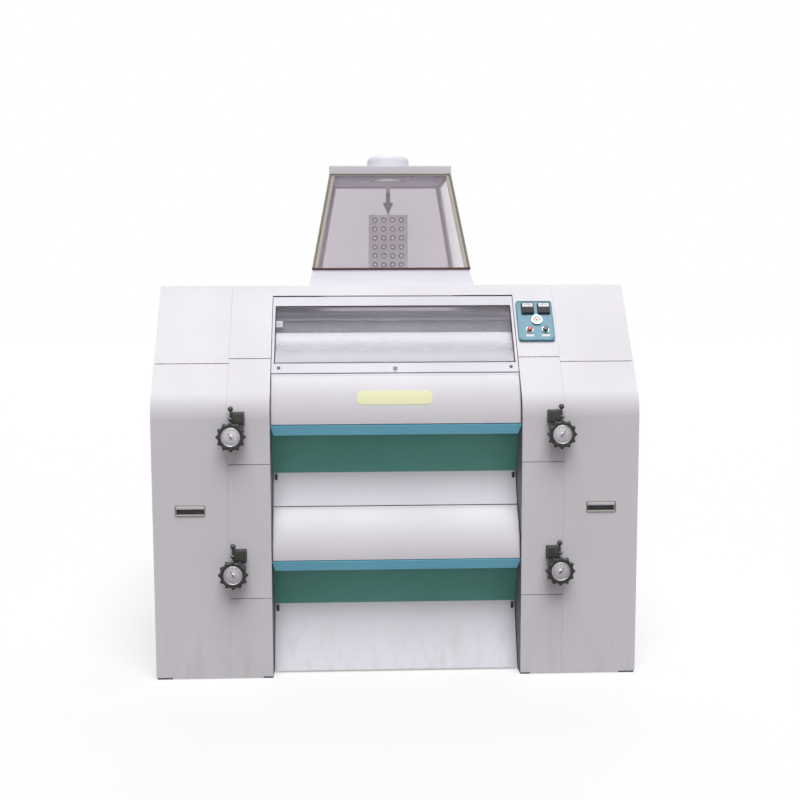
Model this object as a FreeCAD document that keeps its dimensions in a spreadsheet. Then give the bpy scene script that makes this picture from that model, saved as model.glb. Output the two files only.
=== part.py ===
import FreeCAD, Part
import Sketcher
import math
import os

# Double-sided grain roller mill with two roll passages on each side.
# Frame: X along the rolls, front at -Y, +Z up, origin on the floor under the middle.
# The back half is the front half turned half a turn about Z.

doc = FreeCAD.newDocument("GrainRollerMill")
sheet = doc.addObject("Spreadsheet::Sheet", "Dims")


class Size:
    """A length with the spreadsheet expression that gives it."""

    def __init__(self, value, text):
        self.value = float(value)
        self.text = text

    def __add__(self, other):
        other = as_size(other)
        return Size(self.value + other.value, "(%s + %s)" % (self.text, other.text))

    def __radd__(self, other):
        return as_size(other) + self

    def __sub__(self, other):
        other = as_size(other)
        return Size(self.value - other.value, "(%s - %s)" % (self.text, other.text))

    def __rsub__(self, other):
        return as_size(other) - self

    def __mul__(self, other):
        other = as_size(other)
        return Size(self.value * other.value, "(%s * %s)" % (self.text, other.text))

    def __rmul__(self, other):
        return as_size(other) * self

    def __truediv__(self, other):
        other = as_size(other)
        return Size(self.value / other.value, "(%s / %s)" % (self.text, other.text))

    def __neg__(self):
        return Size(-self.value, "(0 - %s)" % self.text)


def as_size(number):
    """Wrap a bare number so that it can take part in size arithmetic."""
    if isinstance(number, Size):
        return number
    return Size(number, "(%.9g)" % number)


def root(size):
    return Size(math.sqrt(size.value), "sqrt(%s)" % size.text)


ROWS = []


def dim(name, value, note):
    """Add one driving dimension to the sheet and give it back as a Size."""
    row = str(len(ROWS) + 1)
    ROWS.append(name)
    sheet.set("A" + row, note)
    sheet.set("B" + row, repr(value))
    sheet.setAlias("B" + row, name)
    return Size(value, "Dims." + name)


# overall casing
width = dim("casing_width", 1960, "overall width over both hoods")
depth = dim("casing_depth", 1500, "depth between the two vertical faces")
height = dim("casing_height", 1598, "height of the casing")
bend_z = dim("bend_height", 1119, "height at which the faces lean back")
slope_run = dim("slope_run", 312, "how far each face leans back by the top")
bend_r = dim("bend_radius", 170, "outer radius of the bend")
skin = dim("skin", 3, "sheet thickness of the casing")
seam = dim("seam", 2.5, "joint between neighbouring covers")
bay_half = dim("bay_half", 507, "half the clear width between the side frames")
column = dim("column_width", 170, "width of the fixed column panels")
hood_z = dim("hood_top", 1280, "height of the seam above the lift-off hoods")
foot_gap = dim("foot_gap", 8, "gap under the covers")
seam_low = dim("column_seam_low", 334, "lowest column seam")
seam_mid = dim("column_seam_mid", 882, "middle column seam")
seam_high = dim("column_seam_high", 1300, "highest column seam")
fit = dim("running_fit", 0.05, "radial clearance of a shaft in its bore")
free = dim("free_gap", 0.5, "gap between pieces that pass each other")

# side frames, base and ties
plate = dim("frame_plate", 40, "thickness of the side frames")
rail = dim("base_rail", 50, "height of the base rails")
rail_w = dim("base_rail_width", 60, "width of the base rails")
post_w = dim("post_width", 40, "width of the end posts")
post_y = dim("post_offset", 330, "distance of the end posts from the middle")
tie_w = dim("tie_width", 90, "section of the centre ties")

# rolls and their drive
roll_r = dim("roll_radius", 125, "grinding roll radius")
nip = dim("roll_nip", 0.4, "gap between a pair of rolls when closed")
roll_y = dim("slow_roll_offset", 550, "slow roll axis from the middle")
roll_up = dim("roll_above_wheel", 120, "roll axis above its handwheels")
roll_end = dim("roll_end_gap", 12, "gap between a roll end and the side frame")
journal_r = dim("journal_radius", 50, "journal radius")
shaft_r = dim("shaft_radius", 38, "radius of the driven shaft ends")
hub_w = dim("bearing_width", 50, "width of the outer bearings")
hub_r = dim("bearing_radius", 84, "outer radius of the outer bearings")
gear_x = dim("gear_offset", 722, "start of the gears from the middle")
gear_w = dim("gear_width", 56, "face width of the gears")
teeth_fast = 22
teeth_slow = 28
backlash = dim("gear_backlash", 1.2, "tooth thinning at the pitch line")
pulley_r = dim("pulley_radius", 150, "main pulley radius")
pulley_w = dim("pulley_width", 84, "main pulley width")
groove_d = dim("groove_depth", 14, "depth of the belt grooves")
pivot_drop = dim("pivot_below_roll", 200, "throw-out shaft below the slow roll axis")
pivot_r = dim("throwout_radius", 22, "radius of the throw-out shaft")
swing_gap = dim("swing_gap", 12, "room round the slow journal in the side frame")

# handwheels and their locks
wheel_x = dim("wheel_offset", 657, "handwheel axis from the middle")
wheel_hi = dim("wheel_high", 1000, "height of the upper handwheels")
wheel_lo = dim("wheel_low", 445, "height of the lower handwheels")
wheel_r = dim("wheel_radius", 60, "radius over the points of a handwheel")
wheel_t = dim("wheel_thickness", 26, "thickness of a handwheel")
wheel_out = dim("wheel_standoff", 34, "gap between casing and handwheel")
scallop_r = dim("scallop_radius", 16, "radius of the rim scallops")
scallop_d = dim("scallop_centre", 66, "centre of the rim scallops from the axis")
dial_r = dim("dial_radius", 38.5, "radius of the dial")
dial_t = dim("dial_depth", 4, "depth of the dial seat")
spindle_r = dim("spindle_radius", 12, "radius of the adjusting spindles")
bush_r = dim("bush_radius", 19, "radius of the spindle bushes")
bush_w = dim("bush_length", 34, "length of the spindle bushes")
block_w = dim("block_width", 46, "width of the lever block")
block_h = dim("block_height", 48, "height of the lever block")
block_t = dim("block_depth", 30, "depth of the lever block")
block_up = dim("block_above_wheel", 44, "underside of the block above the axis")
lever_up = dim("lever_above_wheel", 66, "lever pin above the wheel axis")
lever_len = dim("lever_length", 42, "lever pin to ball centre")
lever_rod = dim("lever_rod_radius", 4.5, "lever rod radius")
ball_r = dim("ball_radius", 11, "radius of the lever ball")
pin_r = dim("lever_pin_radius", 4, "lever pin radius")
lever_hub = dim("lever_hub_radius", 9, "radius of the lever boss")
lever_w = dim("lever_width", 10, "width of the lever boss")

# bay panels, upper and lower
door_rec = dim("door_recess", 13, "recess of the roll door's lower edge")
door_tall_hi = dim("upper_door_height", 198, "height of the upper roll doors")
door_tall_lo = dim("lower_door_height", 203, "height of the lower roll doors")
door_back_hi = dim("upper_door_lean", 66, "setback of the top of the upper doors")
door_back_lo = dim("lower_door_lean", 84, "setback of the top of the lower doors")
door_up = dim("door_above_wheel", 40, "lower edge of the doors above the wheels")
door_side = dim("door_side_gap", 3, "side gap of the doors and flaps")
hinge_r = dim("hinge_radius", 8, "rolled hinge radius")
hinge_pin = dim("hinge_pin_radius", 5, "radius of the hinge pins")
pin_reach = dim("hinge_pin_reach", 16, "reach of the hinge pins into the bay")
cheek = dim("cheek_thickness", 4, "thickness of the door cheeks")
lip_h = dim("lip_height", 40, "height of the lip strips")
lip_t = dim("lip_thickness", 8, "thickness of the lip strips")
lip_in = dim("lip_lean", 16, "setback of a lip's lower edge")
lip_cut = dim("lip_corner", 15, "slant of the lip ends")
guard_h = dim("guard_height", 176, "visible height of the guards")
guard_top = dim("guard_top_recess", 100, "recess of the guards at the top")
guard_low = dim("guard_low_recess", 158, "recess of the guards at the foot")
guard_t = dim("guard_thickness", 5, "thickness of the guards")
flap_t = dim("flap_thickness", 4, "thickness of the inspection flaps")
flap_low = dim("flap_low_recess", 104, "recess of an upper flap's lower edge")
flap_foot = dim("flap_foot_recess", 62, "recess of a lower flap's lower edge")
flap_pin = dim("flap_pin_drop", 36, "flap pivot below the flap's top edge")

# feed section and window
win_top = dim("window_top", 1553, "height of the sash's upper edge")
win_gap = dim("window_above_door", 5, "gap between the upper doors and the sash")
win_low = wheel_hi + door_up + door_tall_hi + win_gap
sash_t = dim("sash_thickness", 14, "thickness of the sash")
sash_top = dim("sash_top_bar", 50, "width of the sash's top bar")
sash_low = dim("sash_low_bar", 47, "width of the sash's lower bar")
sash_side = dim("sash_side_bar", 12, "width of the sash's side bars")
glass_t = dim("glass_thickness", 5, "thickness of the panes")
feed_y = dim("feed_roll_offset", 497, "feed roll axis from the middle")
feed_z = dim("feed_roll_height", 1343, "feed roll axis height")
feed_r = dim("feed_roll_radius", 57, "feed roll radius")
feed_j = dim("feed_journal_radius", 20, "feed roll journal radius")
gate_y = dim("gate_offset", 428, "feed gate shaft from the middle")
gate_z = dim("gate_height", 1478, "feed gate shaft height")
gate_r = dim("gate_shaft_radius", 12, "feed gate shaft radius")
gate_gap = dim("gate_gap", 5, "gap between feed gate and feed roll")
chute_t = dim("chute_thickness", 5, "thickness of the inner chutes")
ridge_z = dim("splitter_ridge", 1588, "height of the splitter's ridge")
outlet_y = dim("outlet_offset", 435, "middle of a discharge outlet")
outlet_w = dim("outlet_width", 150, "width of a discharge outlet")

# hopper
collar_w = dim("collar_width", 718, "hopper collar width at the foot")
collar_d = dim("collar_depth", 694, "hopper collar depth at the foot")
collar_h = dim("collar_height", 70, "hopper collar height")
hop_w = dim("glass_foot_width", 682, "width at the foot of the glass")
hop_d = dim("glass_foot_depth", 664, "depth at the foot of the glass")
top_w = dim("glass_top_width", 524, "width at the top of the glass")
top_d = dim("glass_top_depth", 492, "depth at the top of the glass")
hop_z = dim("roof_height", 2088, "underside of the hopper roof")
roof_t = dim("roof_band", 34, "height of the roof band")
roof_lap = dim("roof_overhang", 6, "overhang of the roof")
frame_w = dim("glazing_bar", 18, "width of the glazing bars")
wall = dim("hopper_wall", 6, "thickness of collar and glazing bars")
inlet_r = dim("inlet_radius", 62, "bore of the inlet")
inlet_h = dim("inlet_height", 76, "height of the inlet above the roof")
dome_r = dim("inlet_base_radius", 96, "radius at the foot of the inlet")
feeler_w = dim("feeler_width", 182, "width of the level feeler")
feeler_h = dim("feeler_height", 260, "height of the level feeler")
feeler_t = dim("feeler_thickness", 4, "thickness of the level feeler")
feeler_z = dim("feeler_top", 1932, "top of the level feeler")
hole_r = dim("feeler_hole_radius", 13, "radius of the feeler's holes")
hole_p = dim("feeler_hole_pitch", 41, "pitch of the feeler's holes")
rod_r = dim("feeler_rod_radius", 5, "radius of the feeler rod")

# control panel
panel_w = dim("panel_width", 148, "width of the control panel")
panel_h = dim("panel_height", 190, "height of the control panel along the slope")
panel_t = dim("panel_thickness", 10, "thickness of the control panel")
panel_z = dim("panel_centre", 1443, "height of the control panel's middle")
panel_x = dim("panel_offset", 592, "control panel's middle from the middle")
meter_w = dim("meter_width", 50, "width of the meters")
button_r = dim("button_radius", 11, "radius of the buttons")
button_gap = dim("button_travel_gap", 5, "gap under a button's head")

half_w = width / 2
half_d = depth / 2
seam_x = bay_half + column
rise = height - bend_z
lean = slope_run / rise
slope_len = root(rise * rise + slope_run * slope_run)
cos_s = rise / slope_len
sin_s = slope_run / slope_len
pair = 2 * roll_r + nip
fast_y = roll_y - pair
doc.recompute()


def face_y(z, inset=0):
    """Depth of the leaning front face at height z, set back by inset along its normal."""
    return -half_d + (z - bend_z) * lean + as_size(inset) / cos_s


# ---------------------------------------------------------------- modelling helpers
def body(label):
    made = doc.addObject("PartDesign::Body", label)
    made.Label = label
    return made


def plane(owner, role):
    found = [item for item in owner.Origin.OriginFeatures if item.Role == role]
    return found[0]


def sketch(owner, role, offset=None):
    """Empty sketch on an origin plane of its body, set off along the plane's normal."""
    made = owner.newObject("Sketcher::SketchObject", "Sketch")
    made.AttachmentSupport = [(plane(owner, role), "")]
    made.MapMode = "FlatFace"
    if offset is not None:
        made.AttachmentOffset.Base.z = as_size(offset).value
        made.setExpression("AttachmentOffset.Base.z", as_size(offset).text)
    return made


def pins(edge, end, x, y):
    """Constraints that hold one end of an edge at sizes; a size of None leaves its way free."""
    found = []
    for kind, size in (("DistanceX", x), ("DistanceY", y)):
        if size is not None:
            size = as_size(size)
            found.append((Sketcher.Constraint(kind, -1, 1, edge, end, size.value), size))
    return found


def hold(where, wanted):
    """Add constraints in one go and tie those that carry a size to the sheet."""
    indices = where.addConstraint([item[0] for item in wanted])
    for index, (_, size) in zip(indices, wanted):
        if size is not None:
            where.setExpression("Constraints[%d]" % index, size.text)


def outline(where, points):
    """Closed profile through points given as sizes x, y.

    A point with a third entry, a pair of sizes, starts an arc about that centre;
    every other edge is straight.
    """
    count = len(points)
    first = where.GeometryCount
    flat = [FreeCAD.Vector(as_size(p[0]).value, as_size(p[1]).value, 0) for p in points]
    shapes = []
    ends = []
    wanted = []
    for i, point in enumerate(points):
        here, there = flat[i], flat[(i + 1) % count]
        if len(point) < 3 or point[2] is None:
            shapes.append(Part.LineSegment(here, there))
            ends.append((1, 2))
            continue
        cx, cy = as_size(point[2][0]), as_size(point[2][1])
        centre = FreeCAD.Vector(cx.value, cy.value, 0)
        a, b = here - centre, there - centre
        forward = a.cross(b).z > 0
        begin, finish = (a, b) if forward else (b, a)
        start = math.atan2(begin.y, begin.x)
        stop = math.atan2(finish.y, finish.x)
        if stop < start:
            stop += 2 * math.pi
        circle = Part.Circle(centre, FreeCAD.Vector(0, 0, 1), a.Length)
        shapes.append(Part.ArcOfCircle(circle, start, stop))
        ends.append((1, 2) if forward else (2, 1))
        wanted += pins(first + i, 3, cx, cy)
    where.addGeometry(shapes)
    for i, point in enumerate(points):
        after = (i + 1) % count
        link = Sketcher.Constraint("Coincident", first + i, ends[i][1], first + after, ends[after][0])
        wanted.append((link, None))
        before = points[i - 1]
        x, y = as_size(point[0]), as_size(point[1])
        if len(before) > 2 and before[2] is not None:
            run = x.value - as_size(before[2][0]).value
            climb = y.value - as_size(before[2][1]).value
            if abs(run) > abs(climb):
                x = None
            else:
                y = None
        wanted += pins(first + i, ends[i][0], x, y)
    hold(where, wanted)
    return where


def ring(where, x, y, radius):
    """Circle with its centre and radius from the sheet."""
    x, y, radius = as_size(x), as_size(y), as_size(radius)
    circle = Part.Circle(FreeCAD.Vector(x.value, y.value, 0), FreeCAD.Vector(0, 0, 1), radius.value)
    edge = where.addGeometry(circle)
    hold(where, [(Sketcher.Constraint("Radius", edge, radius.value), radius)] + pins(edge, 3, x, y))
    return where


def pad(owner, where, length, symmetric=False, reverse=False):
    made = owner.newObject("PartDesign::Pad", "Pad")
    made.Profile = where
    made.Length = as_size(length).value
    made.setExpression("Length", as_size(length).text)
    if symmetric:
        made.SideType = "Symmetric"
    made.Reversed = reverse
    where.Visibility = False
    return made


def pocket(owner, where, length=None, symmetric=False, reverse=False):
    made = owner.newObject("PartDesign::Pocket", "Pocket")
    made.Profile = where
    if length is None:
        made.Type = "ThroughAll"
    else:
        made.Length = as_size(length).value
        made.setExpression("Length", as_size(length).text)
    if symmetric:
        made.SideType = "Symmetric"
    made.Reversed = reverse
    return made


def turned(owner, where, axis):
    made = owner.newObject("PartDesign::Revolution", "Revolution")
    made.Profile = where
    made.ReferenceAxis = (plane(owner, axis), [""])
    made.Angle = 360
    return made


def place(made, x=0, y=0, z=0, axis=None, angle=None, flip=False):
    """Put a body at sizes from the sheet, turned about an axis; flip gives the back's copy."""
    turn = FreeCAD.Rotation()
    x, y, z = as_size(x), as_size(y), as_size(z)
    if flip:
        x, y = -x, -y
    if axis is not None:
        if flip:
            half = FreeCAD.Rotation(FreeCAD.Vector(0, 0, 1), 180)
            turn = half * FreeCAD.Rotation(axis, angle)
        else:
            turn = FreeCAD.Rotation(axis, angle)
    elif flip:
        turn = FreeCAD.Rotation(FreeCAD.Vector(0, 0, 1), 180)
    made.Placement = FreeCAD.Placement(FreeCAD.Vector(x.value, y.value, z.value), turn)
    for key, size in (("x", x), ("y", y), ("z", z)):
        made.setExpression("Placement.Base." + key, size.text)
    return made


def group(label, members):
    """One node made of several separate solids."""
    made = doc.addObject("Part::Compound", label)
    made.Label = label
    made.Links = members
    return made


def bar(label, points, length, start=None):
    """Bar along X with the given section in Y and Z, centred or starting at a distance."""
    made = body(label)
    if start is None:
        pad(made, outline(sketch(made, "YZ_Plane"), points), length, symmetric=True)
    else:
        pad(made, outline(sketch(made, "YZ_Plane", start), points), length)
    return made


def box_points(y0, z0, y1, z1):
    return [(y0, z0), (y1, z0), (y1, z1), (y0, z1)]


def strip_points(a, b, thick):
    """Section of a flat sheet from point a to point b, its thickness to the right of the way."""
    run, climb = b[0] - a[0], b[1] - a[1]
    length = root(run * run + climb * climb)
    dy, dz = climb / length * thick, -run / length * thick
    return [a, b, (b[0] + dy, b[1] + dz), (a[0] + dy, a[1] + dz)]


NODES = []


def node(made):
    NODES.append(made)
    return made


LEVELS = (
    ("upper", wheel_hi, door_tall_hi, door_back_hi),
    ("lower", wheel_lo, door_tall_lo, door_back_lo),
)
SIDES = (("front", False), ("back", True))
ENDS = (("left", -1), ("right", 1))
hinge_in = dim("hinge_inset", 3, "inset of a roll door's hinge from its face")
bearing_end = wheel_x + hub_w / 2
floor_z = as_size(0)


bend_reach = bend_r * (1 - cos_s) / sin_s
bend_centre = (bend_r - half_d, bend_z - bend_reach)


def face_path(low, high, inset=0):
    """Points up the front face between two heights, set back by inset, round the bend."""
    low, high, inset = as_size(low), as_size(high), as_size(inset)
    path = []
    if low.value < bend_z.value:
        path.append((-half_d + inset, low))
    else:
        path.append((face_y(low, inset), low))
    if low.value < bend_z.value < high.value:
        inner = bend_r - inset
        path.append((-half_d + inset, bend_centre[1], bend_centre))
        path.append((bend_centre[0] - inner * cos_s, bend_centre[1] + inner * sin_s))
    if high.value <= bend_z.value:
        path.append((-half_d + inset, high))
    else:
        path.append((face_y(high, inset), high))
    return path


def backward(path):
    """The same path walked the other way."""
    count = len(path)
    turned_path = []
    for i in range(count):
        here = path[count - 1 - i]
        arc = path[count - 2 - i][2] if i < count - 1 and len(path[count - 2 - i]) > 2 else None
        turned_path.append((here[0], here[1], arc))
    return turned_path


def behind(path):
    """The path on the back face, walked the other way."""
    far = []
    for here in backward(path):
        arc = None if here[2] is None else (-here[2][0], here[2][1])
        far.append((-here[0], here[1], arc))
    return far


def closed(path):
    """Outline of a solid between a path on the front face and its twin on the back."""
    return path + behind(path)


def door_hinge(wheel_z, tall, back):
    """Axis of a roll door's hinge in Y and Z."""
    return -half_d + door_rec + back + hinge_in, wheel_z + door_up + tall - hinge_r


def flap_ends(level, wheel_z):
    """Upper and lower edge of an inspection flap, and its pivot."""
    high = (-half_d + guard_low - seam, wheel_z - guard_h - seam)
    if level == "upper":
        low = (-half_d + flap_low, wheel_lo + door_up + door_tall_lo + seam)
    else:
        low = (-half_d + flap_foot, foot_gap)
    slant = (low[0] - high[0]) / (high[1] - low[1])
    pivot = (high[0] + slant * flap_pin + hinge_r, high[1] - flap_pin)
    return high, low, pivot


half_sash = sash_t / 2
sash_pin = (
    face_y(win_top) - sin_s * half_sash + cos_s * half_sash,
    win_top - cos_s * half_sash - sin_s * half_sash,
)


def bores_and_pins():
    """Every bore and hinge pin of the front half of a side frame."""
    bores = [(-feed_y, feed_z, feed_j + fit), (-gate_y, gate_z, gate_r + fit)]
    pins = [sash_pin]
    for level, wheel_z, tall, back in LEVELS:
        axis_z = wheel_z + roll_up
        bores.append((-fast_y, axis_z, journal_r + fit))
        bores.append((-roll_y, axis_z, journal_r + swing_gap))
        bores.append((-roll_y, axis_z - pivot_drop, pivot_r + fit))
        pins.append(door_hinge(wheel_z, tall, back))
        pins.append(flap_ends(level, wheel_z)[2])
    return bores, pins


# ---------------------------------------------------------------- frame
def side_frame(end, way):
    """Side plate that carries the rolls, its outline the casing's less the skin."""
    made = body(end + "_side_frame")
    back = way < 0
    front = face_path(floor_z, height - skin, skin)
    pad(made, outline(sketch(made, "YZ_Plane", way * bay_half), closed(front)), plate, reverse=back)
    bores, pins = bores_and_pins()
    cuts = sketch(made, "YZ_Plane")
    for turn in (1, -1):
        for y, z, radius in bores:
            ring(cuts, turn * y, z, radius)
    pocket(made, cuts, symmetric=True)
    studs = sketch(made, "YZ_Plane", way * bay_half)
    for turn in (1, -1):
        for y, z in pins:
            ring(studs, turn * y, z, hinge_pin)
    pad(made, studs, pin_reach, reverse=not back)
    return made


def bearing_housing(end, way, turn, z):
    """Outer bearing housing of a fast roll, seated on the side frame's outer face."""
    made = body("%s_bearing_housing" % end)
    spot = sketch(made, "YZ_Plane", way * (bay_half + plate))
    ring(spot, -turn * fast_y, z, hub_r)
    ring(spot, -turn * fast_y, z, journal_r + fit)
    pad(made, spot, bearing_end - bay_half - plate, reverse=way < 0)
    return made


frame_parts = [side_frame(end, way) for end, way in ENDS]
for end, way in ENDS:
    for turn in (1, -1):
        for level, wheel_z, tall, lean_back in LEVELS:
            frame_parts.append(bearing_housing(end, way, turn, wheel_z + roll_up))
end_x = half_w - skin - free
for turn in (1, -1):
    rail_y = -turn * (half_d - guard_top)
    edge_y = -turn * (half_d - guard_top - rail_w)
    low, high = (rail_y, edge_y) if turn > 0 else (edge_y, rail_y)
    frame_parts.append(bar("cross_rail", box_points(low, floor_z, high, rail), 2 * bay_half))
for i, part in enumerate((0.125, 0.44, 0.72)):
    mid = height * part
    points = box_points(-tie_w / 2, mid - tie_w / 2, tie_w / 2, mid + tie_w / 2)
    frame_parts.append(bar("centre_tie", points, 2 * bay_half))
for end, way in ENDS:
    made = body(end + "_end_rail")
    reach = half_d - skin - free
    start = way * end_x if way < 0 else end_x - rail_w
    pad(made, outline(sketch(made, "YZ_Plane", start), box_points(-reach, floor_z, reach, rail)), rail_w)
    frame_parts.append(made)
    for turn in (1, -1):
        arm = body(end + "_arm")
        low = turn * post_y - post_w / 2
        start = bay_half + plate if way > 0 else -(end_x - rail_w)
        span = end_x - rail_w - bay_half - plate
        pad(arm, outline(sketch(arm, "YZ_Plane", start), box_points(low, floor_z, low + post_w, rail)), span)
        frame_parts.append(arm)
        post = body(end + "_post")
        start = end_x - post_w if way > 0 else -end_x
        points = box_points(low, rail, low + post_w, height - skin)
        pad(post, outline(sketch(post, "YZ_Plane", start), points), post_w)
        frame_parts.append(post)
node(group("main_frame", frame_parts))

# ---------------------------------------------------------------- inner chutes
chutes = []
foot = (-(feed_y - feed_r - 3 * chute_t / 5), feed_z + 10)
crown = (as_size(0), ridge_z)
roof = [foot, crown, (as_size(0), ridge_z - chute_t / cos_s), (foot[0], foot[1] - chute_t / cos_s)]
for side, flip in SIDES:
    chutes.append(place(bar(side + "_splitter", roof, 2 * bay_half), flip=flip))
axis_hi = wheel_hi + roll_up
axis_lo = wheel_lo + roll_up
guide_in = dim("guide_inset", 55, "front edge of the feed guides from the feed roll's face")
runs = (
    (
        "feed_guide",
        (-(feed_y + feed_r + guide_in), axis_hi + roll_r + 39),
        (-(roll_y - 0.84 * roll_r), axis_hi + roll_r - 19),
    ),
    ("front_fall", (-(roll_y - 30), axis_hi - 1.82 * roll_r), (-(roll_y - 90), axis_lo + roll_r + 60)),
    ("back_fall", (-(fast_y + 90), axis_lo + roll_r + 60), (-(fast_y + 20), axis_hi - roll_r - 22)),
    ("front_outlet", (-(roll_y), axis_lo - 1.9 * roll_r), (-(outlet_y + outlet_w / 2), rail)),
    ("back_outlet", (-(outlet_y - outlet_w / 2), rail), (-(fast_y - 110), axis_lo - 1.1 * roll_r)),
)
for side, flip in SIDES:
    for name, high, low in runs:
        made = bar(side + "_" + name, strip_points(high, low, chute_t), 2 * bay_half)
        chutes.append(place(made, flip=flip))
node(group("product_chutes", chutes))


# ---------------------------------------------------------------- covers
def casing_sheet(low, high):
    """Section of a front sheet between two heights."""
    return face_path(low, high) + backward(face_path(low, high, skin))


def arch_sheet(low):
    """Section of a sheet over the top, from height low in front to the same behind."""
    outer = face_path(low, height)
    inner = face_path(low, height - skin, skin)
    return outer + behind(outer) + backward(inner + behind(inner))


panels = []
bush_spots = {1: wheel_lo, 2: wheel_hi}
spans = (
    (foot_gap, seam_low - seam / 2),
    (seam_low + seam / 2, seam_mid - seam / 2),
    (seam_mid + seam / 2, seam_high - seam / 2),
)
for side, flip in SIDES:
    for end, way in ENDS:
        for i, (low, high) in enumerate(spans):
            made = body("%s_%s_column_panel" % (side, end))
            start = bay_half if way > 0 else -seam_x
            pad(made, outline(sketch(made, "YZ_Plane", start), casing_sheet(low, high)), column)
            if i in bush_spots:
                spot = sketch(made, "XZ_Plane", half_d - skin)
                pad(made, ring(spot, way * wheel_x, bush_spots[i], bush_r), bush_w, reverse=True)
                hole = ring(sketch(made, "XZ_Plane"), way * wheel_x, bush_spots[i], spindle_r + fit)
                pocket(made, hole, symmetric=True)
            panels.append(place(made, flip=flip))
for end, way in ENDS:
    made = body(end + "_column_arch")
    start = bay_half if way > 0 else -seam_x
    pad(made, outline(sketch(made, "YZ_Plane", start), arch_sheet(seam_high + seam / 2)), column)
    panels.append(made)
node(group("column_panels", panels))

throat_x = hop_w / 2 - 40
throat_y = hop_d / 2 - 40
made = node(bar("top_cover", arch_sheet(win_top + seam), 2 * (bay_half - free)))
throat = sketch(made, "XY_Plane", height)
outline(throat, box_points(-throat_x, -throat_y, throat_x, throat_y))
pocket(made, throat, 2 * skin)


def shell_cover(label, way, low, high, roofed):
    """Hollow end cover of the casing's outline with one end wall, open towards the middle."""
    made = body(label)
    start = way * (seam_x + free)
    length = half_w - seam_x - free
    pad(made, outline(sketch(made, "YZ_Plane", start), closed(face_path(low, high))), length, reverse=way < 0)
    top = high - skin if roofed else high + 1
    room = closed(face_path(low - 1, top, skin))
    pocket(made, outline(sketch(made, "YZ_Plane", start), room), length - skin, reverse=way > 0)
    return made


caps = [shell_cover(end + "_cap", way, hood_z + seam, height, True) for end, way in ENDS]
node(group("cabinet_caps", caps))
pull_w = dim("pull_width", 116, "width of the flush pulls")
pull_h = dim("pull_height", 40, "height of the flush pulls")
pull_d = dim("pull_depth", 22, "depth of the flush pulls")
pull_z = dim("pull_centre", 697, "height of the flush pulls")
pull_x = dim("pull_offset", 830, "flush pulls from the middle")
pull_wall = dim("pull_wall", 2, "wall of the flush pulls")
pull_bar = dim("pull_bar", 15, "height of the finger bar")
for end, way in ENDS:
    made = node(shell_cover(end + "_hood", way, foot_gap, hood_z, False))
    for turn in (1, -1):
        cup = sketch(made, "XZ_Plane", turn * (half_d - skin))
        span = box_points(
            way * pull_x - pull_w / 2, pull_z - pull_h / 2, way * pull_x + pull_w / 2, pull_z + pull_h / 2
        )
        pad(made, outline(cup, span), pull_d, reverse=turn > 0)
        cut = sketch(made, "XZ_Plane", turn * half_d)
        inner = box_points(
            way * pull_x - pull_w / 2 + pull_wall,
            pull_z - pull_h / 2 + pull_wall,
            way * pull_x + pull_w / 2 - pull_wall,
            pull_z + pull_h / 2 - pull_bar,
        )
        pocket(made, outline(cut, inner), skin + pull_d - pull_wall, reverse=turn < 0)

# ---------------------------------------------------------------- guards, lips and lever blocks
guards = []
lips = []
for side, flip in SIDES:
    for level, wheel_z, tall, back in LEVELS:
        head = (-half_d + guard_top, wheel_z + lip_h / 5)
        heel = (-half_d + guard_low, wheel_z - guard_h)
        made = bar("%s_%s_guard" % (side, level), strip_points(head, heel, guard_t), 2 * bay_half)
        guards.append(place(made, flip=flip))
        top_z = wheel_z + door_up - seam
        head = (-half_d + door_rec + lip_t, top_z)
        heel = (head[0] + lip_in, top_z - lip_h)
        made = bar("%s_%s_lip" % (side, level), strip_points(head, heel, lip_t), 2 * bay_half)
        corner = sketch(made, "XZ_Plane")
        for way in (1, -1):
            tip = way * (bay_half + 1)
            outline(corner, [(tip, top_z - lip_h - 9), (tip, top_z), (tip - way * (lip_cut + 1), top_z - lip_h - 9)])
        pocket(made, corner, symmetric=True)
        lips.append(place(made, flip=flip))
node(group("roll_guards", guards))
node(group("lip_strips", lips))

block_gap = dim("block_offset", 3, "lever side of the block from the wheel axis")
blocks = []
for side, flip in SIDES:
    for end, way in ENDS:
        for level, wheel_z, tall, back in LEVELS:
            made = body("%s_%s_%s_lever_block" % (side, level, end))
            inner_x = way * (wheel_x - block_gap)
            points = box_points(
                -half_d - block_t, wheel_z + block_up, -half_d, wheel_z + block_up + block_h
            )
            pad(made, outline(sketch(made, "YZ_Plane", inner_x), points), block_w, reverse=way > 0)
            pin = sketch(made, "YZ_Plane", inner_x)
            ring(pin, -half_d - block_t * 0.6, wheel_z + lever_up, pin_r)
            pad(made, pin, lever_w + 2 * block_gap, reverse=way < 0)
            blocks.append(place(made, flip=flip))
node(group("lever_blocks", blocks))


# ---------------------------------------------------------------- hopper
def corners(half_x, half_y):
    return [(-half_x, -half_y), (half_x, -half_y), (half_x, half_y), (-half_x, half_y)]


def loft(owner, low, high, half_low, half_high, kind="PartDesign::AdditiveLoft"):
    """Straight loft between two centred rectangles given by their half sizes."""
    first = outline(sketch(owner, "XY_Plane", low), corners(*half_low))
    second = outline(sketch(owner, "XY_Plane", high), corners(*half_high))
    made = owner.newObject(kind, "Loft")
    made.Profile = first
    made.Sections = [second]
    made.Ruled = True
    return made


def frustum_shell(label, low, high, half_low, half_high, thick):
    """Four-sided tapering shell, open at both ends."""
    made = body(label)
    loft(made, low, high, half_low, half_high)
    inner = [tuple(half - thick for half in halves) for halves in (half_low, half_high)]
    loft(made, low, high, inner[0], inner[1], "PartDesign::SubtractiveLoft")
    return made


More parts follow.
